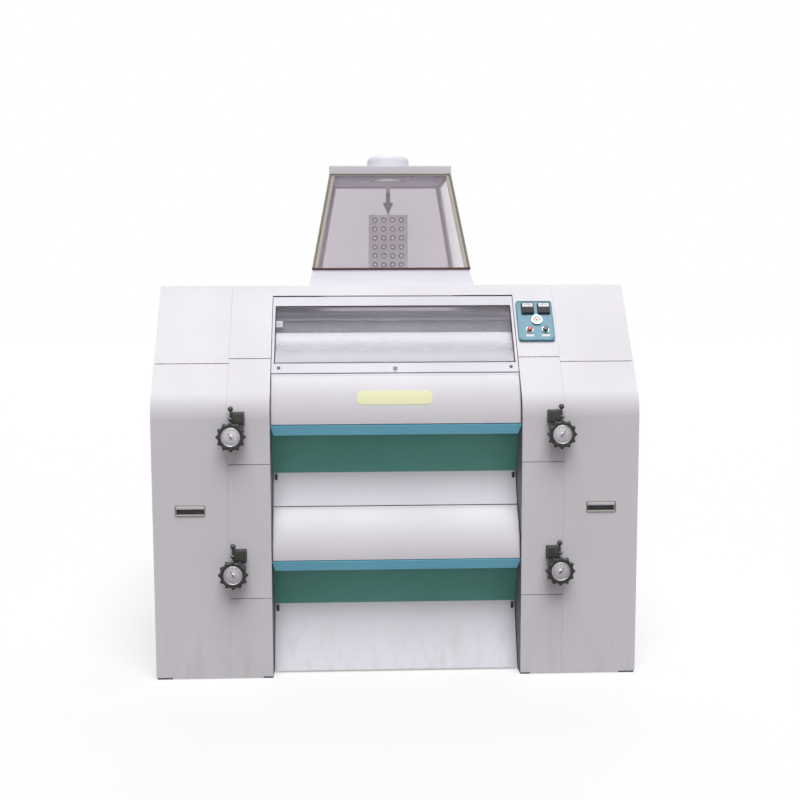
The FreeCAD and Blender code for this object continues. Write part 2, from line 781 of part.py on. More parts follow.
glass_z = height + collar_h
foot_half = (hop_w / 2, hop_d / 2)
top_half = (top_w / 2, top_d / 2)
collar = frustum_shell("hopper_collar", height, glass_z, (collar_w / 2, collar_d / 2), foot_half, wall)
glazing = frustum_shell("hopper_glazing", glass_z, hop_z, foot_half, top_half, wall)
for role, low_half, high_half in (
    ("XZ_Plane", foot_half[0], top_half[0]),
    ("YZ_Plane", foot_half[1], top_half[1]),
):
    light = outline(
        sketch(glazing, role),
        [
            (frame_w - low_half, glass_z + wall),
            (low_half - frame_w, glass_z + wall),
            (high_half - frame_w, hop_z - wall),
            (frame_w - high_half, hop_z - wall),
        ],
    )
    pocket(glazing, light, symmetric=True)
roof_body = body("hopper_roof")
lid = corners(top_half[0] + roof_lap, top_half[1] + roof_lap)
pad(roof_body, outline(sketch(roof_body, "XY_Plane", hop_z), lid), roof_t)
hollow = corners(top_half[0] - frame_w, top_half[1] - frame_w)
pocket(roof_body, outline(sketch(roof_body, "XY_Plane", hop_z), hollow), roof_t - wall, reverse=True)
roof_z = hop_z + roof_t
shoulder = dim("inlet_shoulder", 28, "rounding of the inlet's upper edge")
neck = [
    (inlet_r, hop_z),
    (dome_r, hop_z),
    (dome_r, roof_z + inlet_h - shoulder, (dome_r - shoulder, roof_z + inlet_h - shoulder)),
    (dome_r - shoulder, roof_z + inlet_h),
]
if neck[3][0].value <= inlet_r.value:
    raise RuntimeError("inlet shoulder is wider than its wall")
neck.append((inlet_r, roof_z + inlet_h))
turned(roof_body, outline(sketch(roof_body, "XZ_Plane"), neck), "Z_Axis")
pocket(roof_body, ring(sketch(roof_body, "XY_Plane"), 0, 0, inlet_r), symmetric=True)
bush_len = dim("rod_bush_length", 50, "length of the feeler rod's bush")
hanger = body("feeler_hanger")
hang_half = inlet_r + 24
hang_h = dim("hanger_height", 8, "height of the feeler's hanger bar")
span = box_points(-hang_half, -rod_r * 2, hang_half, rod_r * 2)
pad(hanger, outline(sketch(hanger, "XY_Plane", hop_z), span), hang_h, reverse=True)
pad(hanger, ring(sketch(hanger, "XY_Plane", hop_z - hang_h), 0, 0, rod_r * 2), bush_len - hang_h, reverse=True)
pocket(hanger, ring(sketch(hanger, "XY_Plane"), 0, 0, rod_r + fit), symmetric=True)
node(group("hopper_frame", [collar, glazing, roof_body, hanger]))
pane_foot = tuple(half - wall for half in foot_half)
pane_top = tuple(half - wall for half in top_half)
node(frustum_shell("hopper_panes", glass_z, hop_z, pane_foot, pane_top, glass_t))

feeler = node(body("level_feeler"))
low_z = feeler_z - feeler_h
blade = sketch(feeler, "XZ_Plane")
outline(blade, box_points(-feeler_w / 2, low_z, feeler_w / 2, feeler_z))
for i in range(4):
    for k in range(6):
        ring(blade, hole_p * (i - 1.5), feeler_z - hole_p * (k + 0.6), hole_r)
pad(feeler, blade, feeler_t, symmetric=True)
cone_r = dim("feeler_cone_radius", 22, "radius of the feeler's cone")
cone_h = dim("feeler_cone_height", 36, "height of the feeler's cone")
spring_h = dim("feeler_sleeve_height", 50, "height of the sleeve above the cone")
rod_top = hop_z - 2
stem = [
    (as_size(0), feeler_z - 8),
    (rod_r, feeler_z - 8),
    (rod_r, feeler_z + 16),
    (cone_r, feeler_z + 16 + cone_h),
    (rod_r * 1.8, feeler_z + 16 + cone_h),
    (rod_r * 1.8, feeler_z + 16 + cone_h + spring_h),
    (rod_r, feeler_z + 16 + cone_h + spring_h),
    (rod_r, rod_top),
    (as_size(0), rod_top),
]
turned(feeler, outline(sketch(feeler, "XZ_Plane"), stem), "Z_Axis")

# ---------------------------------------------------------------- control panel
tilt = 90 - math.degrees(math.atan2(slope_run.value, rise.value))
x_axis = FreeCAD.Vector(1, 0, 0)


def on_slope(made, x, z, flip=False):
    """Stand a body on the leaning face with its own Y up the slope and Z outwards."""
    way = -1 if flip else 1
    return place(made, way * as_size(x), face_y(z), z, x_axis, tilt, flip)


def round_rect(x0, y0, x1, y1, radius):
    """Rectangle with rounded corners."""
    return [
        (x0, y0 + radius, (x0 + radius, y0 + radius)),
        (x0 + radius, y0),
        (x1 - radius, y0, (x1 - radius, y0 + radius)),
        (x1, y0 + radius),
        (x1, y1 - radius, (x1 - radius, y1 - radius)),
        (x1 - radius, y1),
        (x0 + radius, y1, (x0 + radius, y1 - radius)),
        (x0, y1 - radius),
    ]


stem_r = button_r * 0.7
panel = node(body("control_panel"))
face = sketch(panel, "XY_Plane")
outline(face, round_rect(-panel_w / 2, -panel_h / 2, panel_w / 2, panel_h / 2, button_r))
meter_x = dim("meter_spacing", 68, "distance between the meters")
meter_y = dim("meter_rise", 57, "meters above the panel's middle")
button_x = dim("button_spacing", 66, "distance between the buttons")
button_y = dim("button_drop", 46, "buttons below the panel's middle")
button_shift = dim("panel_shift", 5, "meters and buttons right of the panel's middle")
button_t = dim("button_height", 9, "height of a button's head")
button_end = dim("button_stem_gap", 5, "room under a button's stem")
for way in (-1, 1):
    ring(face, way * button_x / 2 + button_shift, -button_y, stem_r + fit)
pad(panel, face, panel_t)
raised = sketch(panel, "XY_Plane", panel_t)
for way in (-1, 1):
    x = way * meter_x / 2 + button_shift
    outline(raised, box_points(x - meter_w / 2, meter_y - meter_w / 2, x + meter_w / 2, meter_y + meter_w / 2))
ring(raised, button_shift, 0, meter_w * 0.42)
pad(panel, raised, panel_t * 0.6)
on_slope(panel, panel_x, panel_z)
for label, way in (("stop_button", -1), ("start_button", 1)):
    made = node(body(label))
    head = panel_t + button_gap
    pad(made, ring(sketch(made, "XY_Plane", head), 0, 0, button_r), button_t)
    pad(made, ring(sketch(made, "XY_Plane", button_end), 0, 0, stem_r), head - button_end)
    spot_x = panel_x + way * button_x / 2 + button_shift
    place(
        made, spot_x, face_y(panel_z) - button_y * sin_s, panel_z - button_y * cos_s, x_axis, tilt
    )

# ---------------------------------------------------------------- rolls and drive
module = 2 * pair / (teeth_fast + teeth_slow)
barrel = bay_half - roll_end
driven = gear_x + gear_w + 10


def gear_outline(where, teeth, phase):
    """Spur gear with straight-flanked teeth thinned by the backlash."""
    pitch_r = module * (teeth / 2)
    tip_r = pitch_r + 0.8 * module
    foot_r = pitch_r - 1.0 * module
    pitch_half = module * (math.pi / 4) - backlash / 2
    tip_half = pitch_half - 0.36 * module
    foot_half_w = pitch_half + 0.36 * module
    points = []
    for i in range(teeth):
        angle = 2 * math.pi * (i + phase) / teeth
        c, s = math.cos(angle), math.sin(angle)
        for radius, side in ((foot_r, -foot_half_w), (tip_r, -tip_half), (tip_r, tip_half), (foot_r, foot_half_w)):
            points.append((radius * c - side * s, radius * s + side * c))
    return outline(where, points)


def roll(label, x, z, fast, flip):
    """Grinding roll with stepped journals, its gear, and the main pulley on a fast roll."""
    made = node(body(label))
    journal_end = bearing_end + 6
    far = journal_end
    if fast:
        far = gear_x + pulley_w + 10
    profile = [
        (as_size(0) - far, as_size(0)),
        (driven, as_size(0)),
        (driven, shaft_r),
        (journal_end, shaft_r),
        (journal_end, journal_r),
        (barrel, journal_r),
        (barrel, roll_r),
        (-barrel, roll_r),
        (-barrel, journal_r),
        (-journal_end, journal_r),
    ]
    if fast:
        profile.append((-journal_end, shaft_r))
        profile.append((-gear_x, shaft_r))
        profile.append((-gear_x, pulley_r))
        step = pulley_w / 3
        for i in range(3):
            edge = gear_x + step * i
            profile.append((-(edge + step * 0.18), pulley_r))
            profile.append((-(edge + step * 0.38), pulley_r - groove_d))
            profile.append((-(edge + step * 0.62), pulley_r - groove_d))
            profile.append((-(edge + step * 0.82), pulley_r))
        profile.append((-(gear_x + pulley_w), pulley_r))
        profile.append((-(gear_x + pulley_w), shaft_r))
        profile.append((-far, shaft_r))
    turned(made, outline(sketch(made, "XY_Plane"), profile), "X_Axis")
    teeth, phase = (teeth_fast, 0) if fast else (teeth_slow, 0.5)
    pad(made, gear_outline(sketch(made, "YZ_Plane", gear_x), teeth, phase), gear_w)
    return place(made, 0, -x, z, flip=flip)


anvil_reach = dim("anvil_reach", 66, "front of the carrier's anvil from its axis")
anvil_h = dim("anvil_height", 32, "height of the carrier's anvil")
nose_gap = dim("nose_gap", 2, "gap between a spindle and its anvil")
boss_r = dim("carrier_boss_radius", 44, "radius of the carrier's lower boss")


def carrier(label, z, flip):
    """Throw-out shaft with the two bearing arms that carry a slow roll."""
    made = node(body(label))
    pad(made, ring(sketch(made, "YZ_Plane"), 0, 0, pivot_r), 2 * bearing_end, symmetric=True)
    for way in (1, -1):
        start = way * (wheel_x - hub_w / 2)
        back = way < 0
        web = [
            (-boss_r * 0.9, as_size(0)),
            (boss_r * 0.9, as_size(0)),
            (hub_r * 0.85, pivot_drop),
            (-hub_r * 0.85, pivot_drop),
        ]
        anvil_z = pivot_drop - roll_up
        anvil = box_points(-anvil_reach, anvil_z - anvil_h / 2, as_size(0), anvil_z + anvil_h / 2)
        pad(made, ring(sketch(made, "YZ_Plane", start), 0, pivot_drop, hub_r), hub_w, reverse=back)
        pad(made, ring(sketch(made, "YZ_Plane", start), 0, 0, boss_r), hub_w, reverse=back)
        pad(made, outline(sketch(made, "YZ_Plane", start), web), hub_w, reverse=back)
        pad(made, outline(sketch(made, "YZ_Plane", start), anvil), hub_w, reverse=back)
    pocket(made, ring(sketch(made, "YZ_Plane"), 0, pivot_drop, journal_r + fit), symmetric=True)
    return place(made, 0, -roll_y, z, flip=flip)


for side, flip in SIDES:
    for level, wheel_z, tall, back in LEVELS:
        name = "%s_%s" % (side, level)
        axis_z = wheel_z + roll_up
        roll(name + "_fast_roll", fast_y, axis_z, True, flip)
        roll(name + "_slow_roll", roll_y, axis_z, False, flip)
        carrier(name + "_roll_carrier", axis_z - pivot_drop, flip)

# ---------------------------------------------------------------- feed section
reach = bay_half - door_side
feed_end = bay_half + plate + 28
sprocket_r = dim("feed_sprocket_radius", 38, "radius of the feed roll's drive wheel")
for side, flip in SIDES:
    made = node(body(side + "_feed_roll"))
    profile = [
        (-(bay_half + plate), as_size(0)),
        (feed_end, as_size(0)),
        (feed_end, sprocket_r),
        (feed_end - 16, sprocket_r),
        (feed_end - 16, feed_j),
        (barrel, feed_j),
        (barrel, feed_r),
        (-barrel, feed_r),
        (-barrel, feed_j),
        (-(bay_half + plate), feed_j),
    ]
    turned(made, outline(sketch(made, "XY_Plane"), profile), "X_Axis")
    place(made, 0, -feed_y, feed_z, flip=flip)
    made = node(body(side + "_feed_gate"))
    pad(made, ring(sketch(made, "YZ_Plane"), 0, 0, gate_r), 2 * (bay_half + plate), symmetric=True)
    run, climb = gate_y - feed_y, feed_z - gate_z
    far = root(run * run + climb * climb)
    share = (far - feed_r - gate_gap) / far
    tip = (run * share, climb * share)
    pad(made, outline(sketch(made, "YZ_Plane"), strip_points((as_size(0), as_size(0)), tip, chute_t)), 2 * reach, symmetric=True)
    place(made, 0, -gate_y, gate_z, flip=flip)
    sash_len = (win_top - win_low) / cos_s
    made = node(body(side + "_window_sash"))
    frame = sketch(made, "XY_Plane", -sash_t)
    outline(frame, box_points(-reach, -sash_len, reach, -half_sash))
    light = box_points(sash_side - reach, sash_low - sash_len, reach - sash_side, -sash_top)
    outline(frame, light)
    pad(made, frame, sash_t)
    pad(made, ring(sketch(made, "YZ_Plane"), -half_sash, -half_sash, half_sash), 2 * reach, symmetric=True)
    depth_in = pin_reach - door_side + free
    for way in (1, -1):
        hole = ring(sketch(made, "YZ_Plane", way * reach), -half_sash, -half_sash, hinge_pin + fit)
        pocket(made, hole, depth_in, reverse=way < 0)
    pad(made, ring(sketch(made, "XY_Plane"), 0, sash_low / 2 - sash_len, hinge_r), 2 * hinge_r)
    on_slope(made, 0, win_top, flip)
    made = node(body(side + "_window_pane"))
    pad(made, outline(sketch(made, "XY_Plane", -(sash_t + glass_t) / 2), light), glass_t)
    on_slope(made, 0, win_top, flip)


# ---------------------------------------------------------------- doors, flaps, handwheels and levers
def pin_holes(made, y, z):
    """Blind bores for the side frames' hinge pins in both ends of a door or flap."""
    for way in (1, -1):
        hole = ring(sketch(made, "YZ_Plane", way * reach), y, z, hinge_pin + fit)
        pocket(made, hole, pin_reach - door_side + free, reverse=way < 0)


def roll_door(label, wheel_z, tall, back, flip):
    """Bulging door in front of a roll pair, a sheet on one arc with cheeks and a rolled hinge."""
    made = node(body(label))
    foot_z = wheel_z + door_up
    foot_y = -half_d + door_rec
    radius = (back * back + tall * tall) / (2 * back)
    centre = (foot_y + radius, foot_z)
    hinge_y, hinge_z = door_hinge(wheel_z, tall, back)
    climb = tall - hinge_r
    inner = radius - skin
    top_y = centre[0] - root(radius * radius - climb * climb)
    inner_y = centre[0] - root(inner * inner - climb * climb)
    shell = [
        (foot_y, foot_z, centre),
        (top_y, hinge_z),
        (inner_y, hinge_z, centre),
        (centre[0] - inner, foot_z),
    ]
    pad(made, outline(sketch(made, "YZ_Plane"), shell), 2 * reach, symmetric=True)
    pad(made, ring(sketch(made, "YZ_Plane"), hinge_y, hinge_z, hinge_r), 2 * reach, symmetric=True)
    hem = box_points(foot_y + skin / 2, foot_z, foot_y + 8 * skin, foot_z + skin)
    pad(made, outline(sketch(made, "YZ_Plane"), hem), 2 * reach, symmetric=True)
    for way in (1, -1):
        side_cut = [
            (foot_y, foot_z, centre),
            (top_y, hinge_z),
            (hinge_y + hinge_r / 2, hinge_z),
            (foot_y + 14 * skin, foot_z),
        ]
        pad(made, outline(sketch(made, "YZ_Plane", way * reach), side_cut), cheek, reverse=way > 0)
    pin_holes(made, hinge_y, hinge_z)
    return place(made, flip=flip)


def flap(label, level, wheel_z, flip):
    """Flat inspection flap with a pivot boss at each upper corner."""
    made = node(body(label))
    high, low, pivot = flap_ends(level, wheel_z)
    pad(made, outline(sketch(made, "YZ_Plane"), strip_points(high, low, flap_t)), 2 * reach, symmetric=True)
    for way in (1, -1):
        boss = ring(sketch(made, "YZ_Plane", way * reach), pivot[0], pivot[1], hinge_r * 1.25)
        pad(made, boss, pin_reach + free, reverse=way > 0)
    pin_holes(made, pivot[0], pivot[1])
    return place(made, flip=flip)


wheel_hub = dim("wheel_hub_radius", 20, "radius of the handwheel's hub")
knob_r = dim("dial_knob_radius", 9, "radius of the knob in the dial")


def handwheel(label, way, wheel_z, flip):
    """Twelve-lobed handwheel with a dial, its hub and the adjusting spindle."""
    made = node(body(label))
    back_y = half_d + wheel_out
    pad(made, ring(sketch(made, "XZ_Plane", back_y), 0, 0, wheel_r), wheel_t)
    pad(made, ring(sketch(made, "XZ_Plane", back_y), 0, 0, wheel_hub), wheel_out - free, reverse=True)
    nose = back_y - roll_y - anvil_reach - nose_gap
    pad(made, ring(sketch(made, "XZ_Plane", back_y), 0, 0, spindle_r), nose, reverse=True)
    turn = math.radians(15)
    bite = ring(sketch(made, "XZ_Plane", back_y), scallop_d * math.sin(turn), scallop_d * math.cos(turn), scallop_r)
    cut = pocket(made, bite, wheel_t, reverse=True)
    doc.recompute()
    lobes = made.newObject("PartDesign::PolarPattern", "Lobes")
    lobes.Originals = [cut]
    lobes.Axis = (plane(made, "Y_Axis"), [""])
    lobes.Angle = 360
    lobes.Occurrences = 12
    made.Tip = lobes
    front_y = back_y + wheel_t
    pocket(made, ring(sketch(made, "XZ_Plane", front_y), 0, 0, dial_r), dial_t)
    pad(made, ring(sketch(made, "XZ_Plane", front_y - dial_t), 0, 0, knob_r), dial_t * 1.5)
    return place(made, way * wheel_x, 0, wheel_z, flip=flip)


def lock_lever(label, way, wheel_z, flip):
    """Ball-ended lever on the pin of its block."""
    made = node(body(label))
    pad(made, ring(sketch(made, "YZ_Plane"), 0, 0, lever_hub), lever_w, symmetric=True)
    base = lever_hub * 0.7
    pad(made, ring(sketch(made, "XY_Plane", base), 0, 0, lever_rod), lever_len - base)
    ball = [(as_size(0), lever_len - ball_r, (as_size(0), lever_len)), (as_size(0), lever_len + ball_r)]
    turned(made, outline(sketch(made, "XZ_Plane"), ball), "Z_Axis")
    pocket(made, ring(sketch(made, "YZ_Plane"), 0, 0, pin_r + fit), symmetric=True)
    x = way * (wheel_x - block_gap + free + lever_w / 2)
    return place(made, x, -half_d - block_t * 0.6, wheel_z + lever_up, flip=flip)


for side, flip in SIDES:
    for level, wheel_z, tall, back in LEVELS:
        name = "%s_%s" % (side, level)
        roll_door(name + "_roll_door", wheel_z, tall, back, flip)
        flap(name + "_flap", level, wheel_z, flip)
        for end, way in ENDS:
            handwheel("%s_%s_handwheel" % (name, end), way, wheel_z, flip)
            lock_lever("%s_%s_lock_lever" % (name, end), way, wheel_z, flip)


doc.recompute()
bad = [o.Label for o in doc.Objects if "Invalid" in o.State or "Error" in o.State]
for made in NODES:
    if made.Shape.isNull() or not made.Shape.isValid() or made.Shape.Volume <= 0:
        bad.append(made.Label)
if bad:
    raise RuntimeError("objects that failed to build: " + ", ".join(bad))
os.makedirs("parts", exist_ok=True)
for made in NODES:
    made.Shape.exportStep("parts/" + made.Label + ".step")
print("nodes", len(NODES))
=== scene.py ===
"""Looks of a double-sided grain roller mill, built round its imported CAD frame."""

import logging
import math
from dataclasses import dataclass
from enum import Enum
from typing import Any, Dict, List, Optional, Sequence, Tuple

import bmesh
import bpy
import numpy as np
from mathutils import Matrix


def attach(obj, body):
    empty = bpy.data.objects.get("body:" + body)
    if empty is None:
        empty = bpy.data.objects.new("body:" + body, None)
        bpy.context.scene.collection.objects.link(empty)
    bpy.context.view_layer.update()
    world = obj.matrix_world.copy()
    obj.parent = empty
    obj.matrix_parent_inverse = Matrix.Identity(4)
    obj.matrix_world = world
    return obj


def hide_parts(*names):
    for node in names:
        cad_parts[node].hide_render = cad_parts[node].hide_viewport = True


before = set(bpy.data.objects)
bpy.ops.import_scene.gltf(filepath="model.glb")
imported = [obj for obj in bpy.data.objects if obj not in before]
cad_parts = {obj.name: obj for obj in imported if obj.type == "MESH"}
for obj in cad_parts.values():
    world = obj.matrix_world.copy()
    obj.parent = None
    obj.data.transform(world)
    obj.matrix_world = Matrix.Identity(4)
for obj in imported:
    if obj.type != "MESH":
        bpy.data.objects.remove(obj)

LOG = logging.getLogger("mill")
Colour = Tuple[float, float, float]
Faces = Sequence[Sequence[int]]
Levels = Sequence[Tuple[float, float]]
Surface = Tuple[np.ndarray, List[Sequence[int]]]
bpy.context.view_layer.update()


# ---------------------------------------------------------------- shader sums
class Signal:
    """A shader socket that can be used in Python sums."""

    def __init__(self, sheet: "FinishSheet", socket: Any) -> None:
        """Keep the socket and the sheet of nodes it belongs to."""
        self.sheet = sheet
        self.socket = socket

    def join(self, operation: str, first: Any, second: Any = None) -> "Signal":
        """Add one Math node.

        Args:
            operation: name of the node's operation.
            first: left-hand value or signal.
            second: right-hand value or signal, if the operation has one.

        Returns:
            The node's result.
        """
        values = {0: first} if second is None else {0: first, 1: second}
        made = self.sheet.node("ShaderNodeMath", {"operation": operation}, values)
        return Signal(self.sheet, made.outputs[0])

    def __add__(self, other: Any) -> "Signal":
        """Sum."""
        return self.join("ADD", self, other)

    def __radd__(self, other: Any) -> "Signal":
        """Sum with the signal on the right."""
        return self.join("ADD", other, self)

    def __sub__(self, other: Any) -> "Signal":
        """Difference."""
        return self.join("SUBTRACT", self, other)

    def __rsub__(self, other: Any) -> "Signal":
        """Difference with the signal on the right."""
        return self.join("SUBTRACT", other, self)

    def __mul__(self, other: Any) -> "Signal":
        """Product."""
        return self.join("MULTIPLY", self, other)

    def __rmul__(self, other: Any) -> "Signal":
        """Product with the signal on the right."""
        return self.join("MULTIPLY", other, self)

    def __truediv__(self, other: Any) -> "Signal":
        """Quotient."""
        return self.join("DIVIDE", self, other)

    def __pow__(self, other: Any) -> "Signal":
        """Power."""
        return self.join("POWER", self, other)

    def sine(self) -> "Signal":
        """Sine of the signal in radians."""
        return self.join("SINE", self)

    def steps(self, low: float, high: float) -> "Signal":
        """Smooth step from nought at low to one at high.

        Args:
            low: value that gives nought.
            high: value that gives one.

        Returns:
            The eased signal.
        """
        made = self.sheet.node(
            "ShaderNodeMapRange",
            {"interpolation_type": "SMOOTHSTEP"},
            {0: self, 1: low, 2: high, 3: 0.0, 4: 1.0},
        )
        return Signal(self.sheet, made.outputs[0])


class FinishSheet:
    """The nodes of one material, or of the world."""

    def __init__(self, owner: Any) -> None:
        """Empty the node tree of a new material or world."""
        self.owner = owner
        owner.use_nodes = True
        self.tree = owner.node_tree
        self.tree.nodes.clear()
        self.coordinates: Optional[Any] = None

    def node(self, kind: str, settings: Dict[str, Any], values: Dict[Any, Any]) -> Any:
        """Add a node, set its settings and then its sockets.

        Args:
            kind: Blender's name of the node type.
            settings: attributes of the node, such as a Math node's operation.
            values: numbers, colours, signals or sockets by socket name or place.

        Returns:
            The node.
        """
        made = self.tree.nodes.new(kind)
        for key, value in settings.items():
            setattr(made, key, value)
        for key, value in values.items():
            socket = made.inputs[key]
            if isinstance(value, Signal):
                self.tree.links.new(value.socket, socket)
            elif isinstance(value, bpy.types.NodeSocket):
                self.tree.links.new(value, socket)
            else:
                if socket.type == "RGBA" and len(value) == 3:
                    value = (*value, 1.0)
                socket.default_value = value
        return made

    def place(self) -> Any:
        """Object coordinates of the piece."""
        if self.coordinates is None:
            self.coordinates = self.node("ShaderNodeTexCoord", {}, {})
        return self.coordinates.outputs["Object"]

    def axis(self, index: int) -> Signal:
        """One of the object coordinates, in metres.

        Args:
            index: 0 for X, 1 for Y, 2 for Z.

        Returns:
            The coordinate.
        """
        made = self.node("ShaderNodeSeparateXYZ", {}, {0: self.place()})
        return Signal(self, made.outputs[index])

    def stretched(self, scale: Tuple[float, float, float]) -> Any:
        """Object coordinates multiplied by one scale per axis."""
        made = self.node("ShaderNodeMapping", {}, {"Vector": self.place(), "Scale": scale})
        return made.outputs[0]

    def noise(self, scale: float, detail: float = 3.0, rough: float = 0.55, where: Any = None) -> Signal:
        """Cloudy noise.

        Args:
            scale: cells per metre.
            detail: layers of finer noise.
            rough: weight of the finer layers.
            where: coordinates to read, the object's own if left out.

        Returns:
            The noise from nought to one.
        """
        made = self.node(
            "ShaderNodeTexNoise",
            {},
            {"Vector": where or self.place(), "Scale": scale, "Detail": detail, "Roughness": rough},
        )
        return Signal(self, made.outputs[0])

    def blend(self, share: Any, first: Any, second: Any) -> Any:
        """Mix two colours.

        Args:
            share: how much of the second colour shows.
            first: colour where the share is nought.
            second: colour where the share is one.

        Returns:
            The mixed colour's socket.
        """
        made = self.node("ShaderNodeMix", {"data_type": "RGBA"}, {0: share, 6: first, 7: second})
        return made.outputs[2]

    def relief(self, height: Signal, distance: float, strength: float = 1.0) -> Any:
        """Bump the surface by a height signal.

        Args:
            height: signal from nought to one.
            distance: height of one in metres.
            strength: weight of the bump.

        Returns:
            The bumped normal's socket.
        """
        made = self.node("ShaderNodeBump", {}, {"Strength": strength, "Distance": distance, "Height": height})
        return made.outputs[0]

    def close(self, **sockets: Any) -> bpy.types.Material:
        """Finish the material with a Principled shader.

        Args:
            sockets: shader inputs, with underscores for the blanks in their names.

        Returns:
            The material.
        """
        values = {key.replace("_", " "): value for key, value in sockets.items()}
        shader = self.node("ShaderNodeBsdfPrincipled", {}, values)
        self.node("ShaderNodeOutputMaterial", {}, {0: shader.outputs[0]})
        return self.owner


# ---------------------------------------------------------------- finishes
@dataclass(frozen=True)
class Finish:
    """A named finish that makes its material once."""

    name: str

    def material(self) -> bpy.types.Material:
        """The finish's material, made when it is first asked for."""
        found = bpy.data.materials.get(self.name)
        return found if found else self.make(FinishSheet(bpy.data.materials.new(self.name)))

    def make(self, sheet: FinishSheet) -> bpy.types.Material:
        """Fill the sheet of nodes; each finish has its own."""
        raise NotImplementedError


@dataclass(frozen=True)
class PowderCoat(Finish):
    """Baked paint with faint mottling, orange peel and some flour dust low down."""

    colour: Colour = (0.80, 0.785, 0.82)
    shade: Colour = (0.74, 0.72, 0.755)
    gloss: float = 0.42
    dust: float = 0.35
    flour: Colour = (0.50, 0.46, 0.42)
    dust_top: float = 0.28

    def make(self, sheet: FinishSheet) -> bpy.types.Material:
        """Mix paint, cloudy shade and dust, with a fine bump."""
        cloud = sheet.noise(2.2, 4.0).steps(0.35, 0.70)
        fine = sheet.noise(26.0, 3.0)
        base = sheet.blend(cloud * 0.55 + fine * 0.12, self.colour, self.shade)
        low = 1 - sheet.axis(2).steps(0.0, self.dust_top)
        streak = sheet.noise(9.0, 4.0, where=sheet.stretched((3.0, 3.0, 0.35))).steps(0.45, 0.8)
        grime = low * streak * self.dust
        base = sheet.blend(grime, base, self.flour)
        peel = sheet.noise(420.0, 2.0)
        rough = self.gloss + cloud * 0.08 + grime * 0.3
        return sheet.close(
            Base_Color=base,
            Roughness=rough,
            Normal=sheet.relief(peel, 0.00012, 0.35),
        )


@dataclass(frozen=True)
class PaintedShadeBand(Finish):
    """One coat outside a band of heights and a darker one inside it, the darker one painted shade, as on the hopper's
    glazing bars under its roof.
    """

    colour: Colour = (0.86, 0.87, 0.92)
    middle: Colour = (0.56, 0.51, 0.46)
    low: float = 1.668
    high: float = 2.088
    seam: float = 0.0005

    def make(self, sheet: FinishSheet) -> bpy.types.Material:
        """Two coats parted at the band's heights, the inner one painted shade, the outer one faintly clouded."""
        z = sheet.axis(2)
        above = z.steps(self.low - self.seam, self.low + self.seam)
        inside = above * (1 - z.steps(self.high - self.seam, self.high + self.seam))
        cloud = sheet.noise(2.2, 4.0).steps(0.35, 0.70)
        # Inside the band the coat turns to the darker middle colour: painted shade.
        coat = sheet.blend(inside, self.colour, self.middle)
        shade = tuple(0.88 * c for c in self.colour)
        peel = sheet.noise(420.0, 2.0)
        return sheet.close(
            Base_Color=sheet.blend(cloud * 0.3 * (1 - inside), coat, shade),
            Roughness=0.40 + cloud * 0.06,
            Normal=sheet.relief(peel, 0.00012, 0.35),
        )


@dataclass(frozen=True)
class CastEnamel(Finish):
    """Black enamel on sand-cast iron, worn a little at the high spots."""

    colour: Colour = (0.030, 0.032, 0.027)
    worn: Colour = (0.10, 0.10, 0.085)

    def make(self, sheet: FinishSheet) -> bpy.types.Material:
        """Mix enamel and worn spots over a grainy casting."""
        grain = sheet.noise(520.0, 3.0)
        patches = sheet.noise(60.0, 4.0).steps(0.52, 0.70)
        return sheet.close(
            Base_Color=sheet.blend(patches * 0.6, self.colour, self.worn),
            Roughness=0.34 + grain * 0.16,
            Coat_Weight=0.25,
            Normal=sheet.relief(grain, 0.0002, 0.5),
        )


class Lay(Enum):
    """Direction in which a metal was worked."""

    ALONG = (1.0, 60.0, 60.0)
    UPWARD = (60.0, 60.0, 1.0)
    ALL_WAYS = (12.0, 12.0, 12.0)


@dataclass(frozen=True)
class WorkedMetal(Finish):
    """Bare metal with fine lines along the way it was worked."""

    colour: Colour = (0.62, 0.62, 0.64)
    rough: float = 0.30
    lay: Lay = Lay.ALONG
    stain: Colour = (0.42, 0.39, 0.36)

    def make(self, sheet: FinishSheet) -> bpy.types.Material:
        """Fine lines in colour, roughness and bump over cloudy staining."""
        lines = sheet.noise(14.0, 4.0, where=sheet.stretched(self.lay.value))
        cloud = sheet.noise(7.0, 4.0).steps(0.50, 0.80)
        return sheet.close(
            Base_Color=sheet.blend(cloud * 0.4 + lines * 0.15, self.colour, self.stain),
            Metallic=1.0,
            Roughness=self.rough + lines * 0.18,
            Normal=sheet.relief(lines, 0.00015, 0.5),
        )


@dataclass(frozen=True)
class FlutedIron(Finish):
    """Chilled iron of a grinding roll, its flutes running along the barrel."""

    y: float = 0.0
    z: float = 0.0
    flutes: int = 480
    twist: float = 0.35
    crest: Colour = (0.42, 0.42, 0.44)
    valley: Colour = (0.20, 0.20, 0.21)

    def make(self, sheet: FinishSheet) -> bpy.types.Material:
        """Sine of the angle round the roll's axis as flutes, plus fine wear."""
        angle = sheet.axis(1).join("ARCTAN2", sheet.axis(2) - self.z, sheet.axis(1) - self.y)
        twist = sheet.axis(0) * self.twist
        flute = ((angle + twist) * float(self.flutes)).sine() * 0.5 + 0.5
        wear = sheet.noise(30.0, 3.0)
        return sheet.close(
            Base_Color=sheet.blend(flute * 0.5 + wear * 0.3, self.crest, self.valley),
            Metallic=1.0,
            Roughness=0.36 + wear * 0.15,
            Normal=sheet.relief(flute, 0.0004, 0.6),
        )


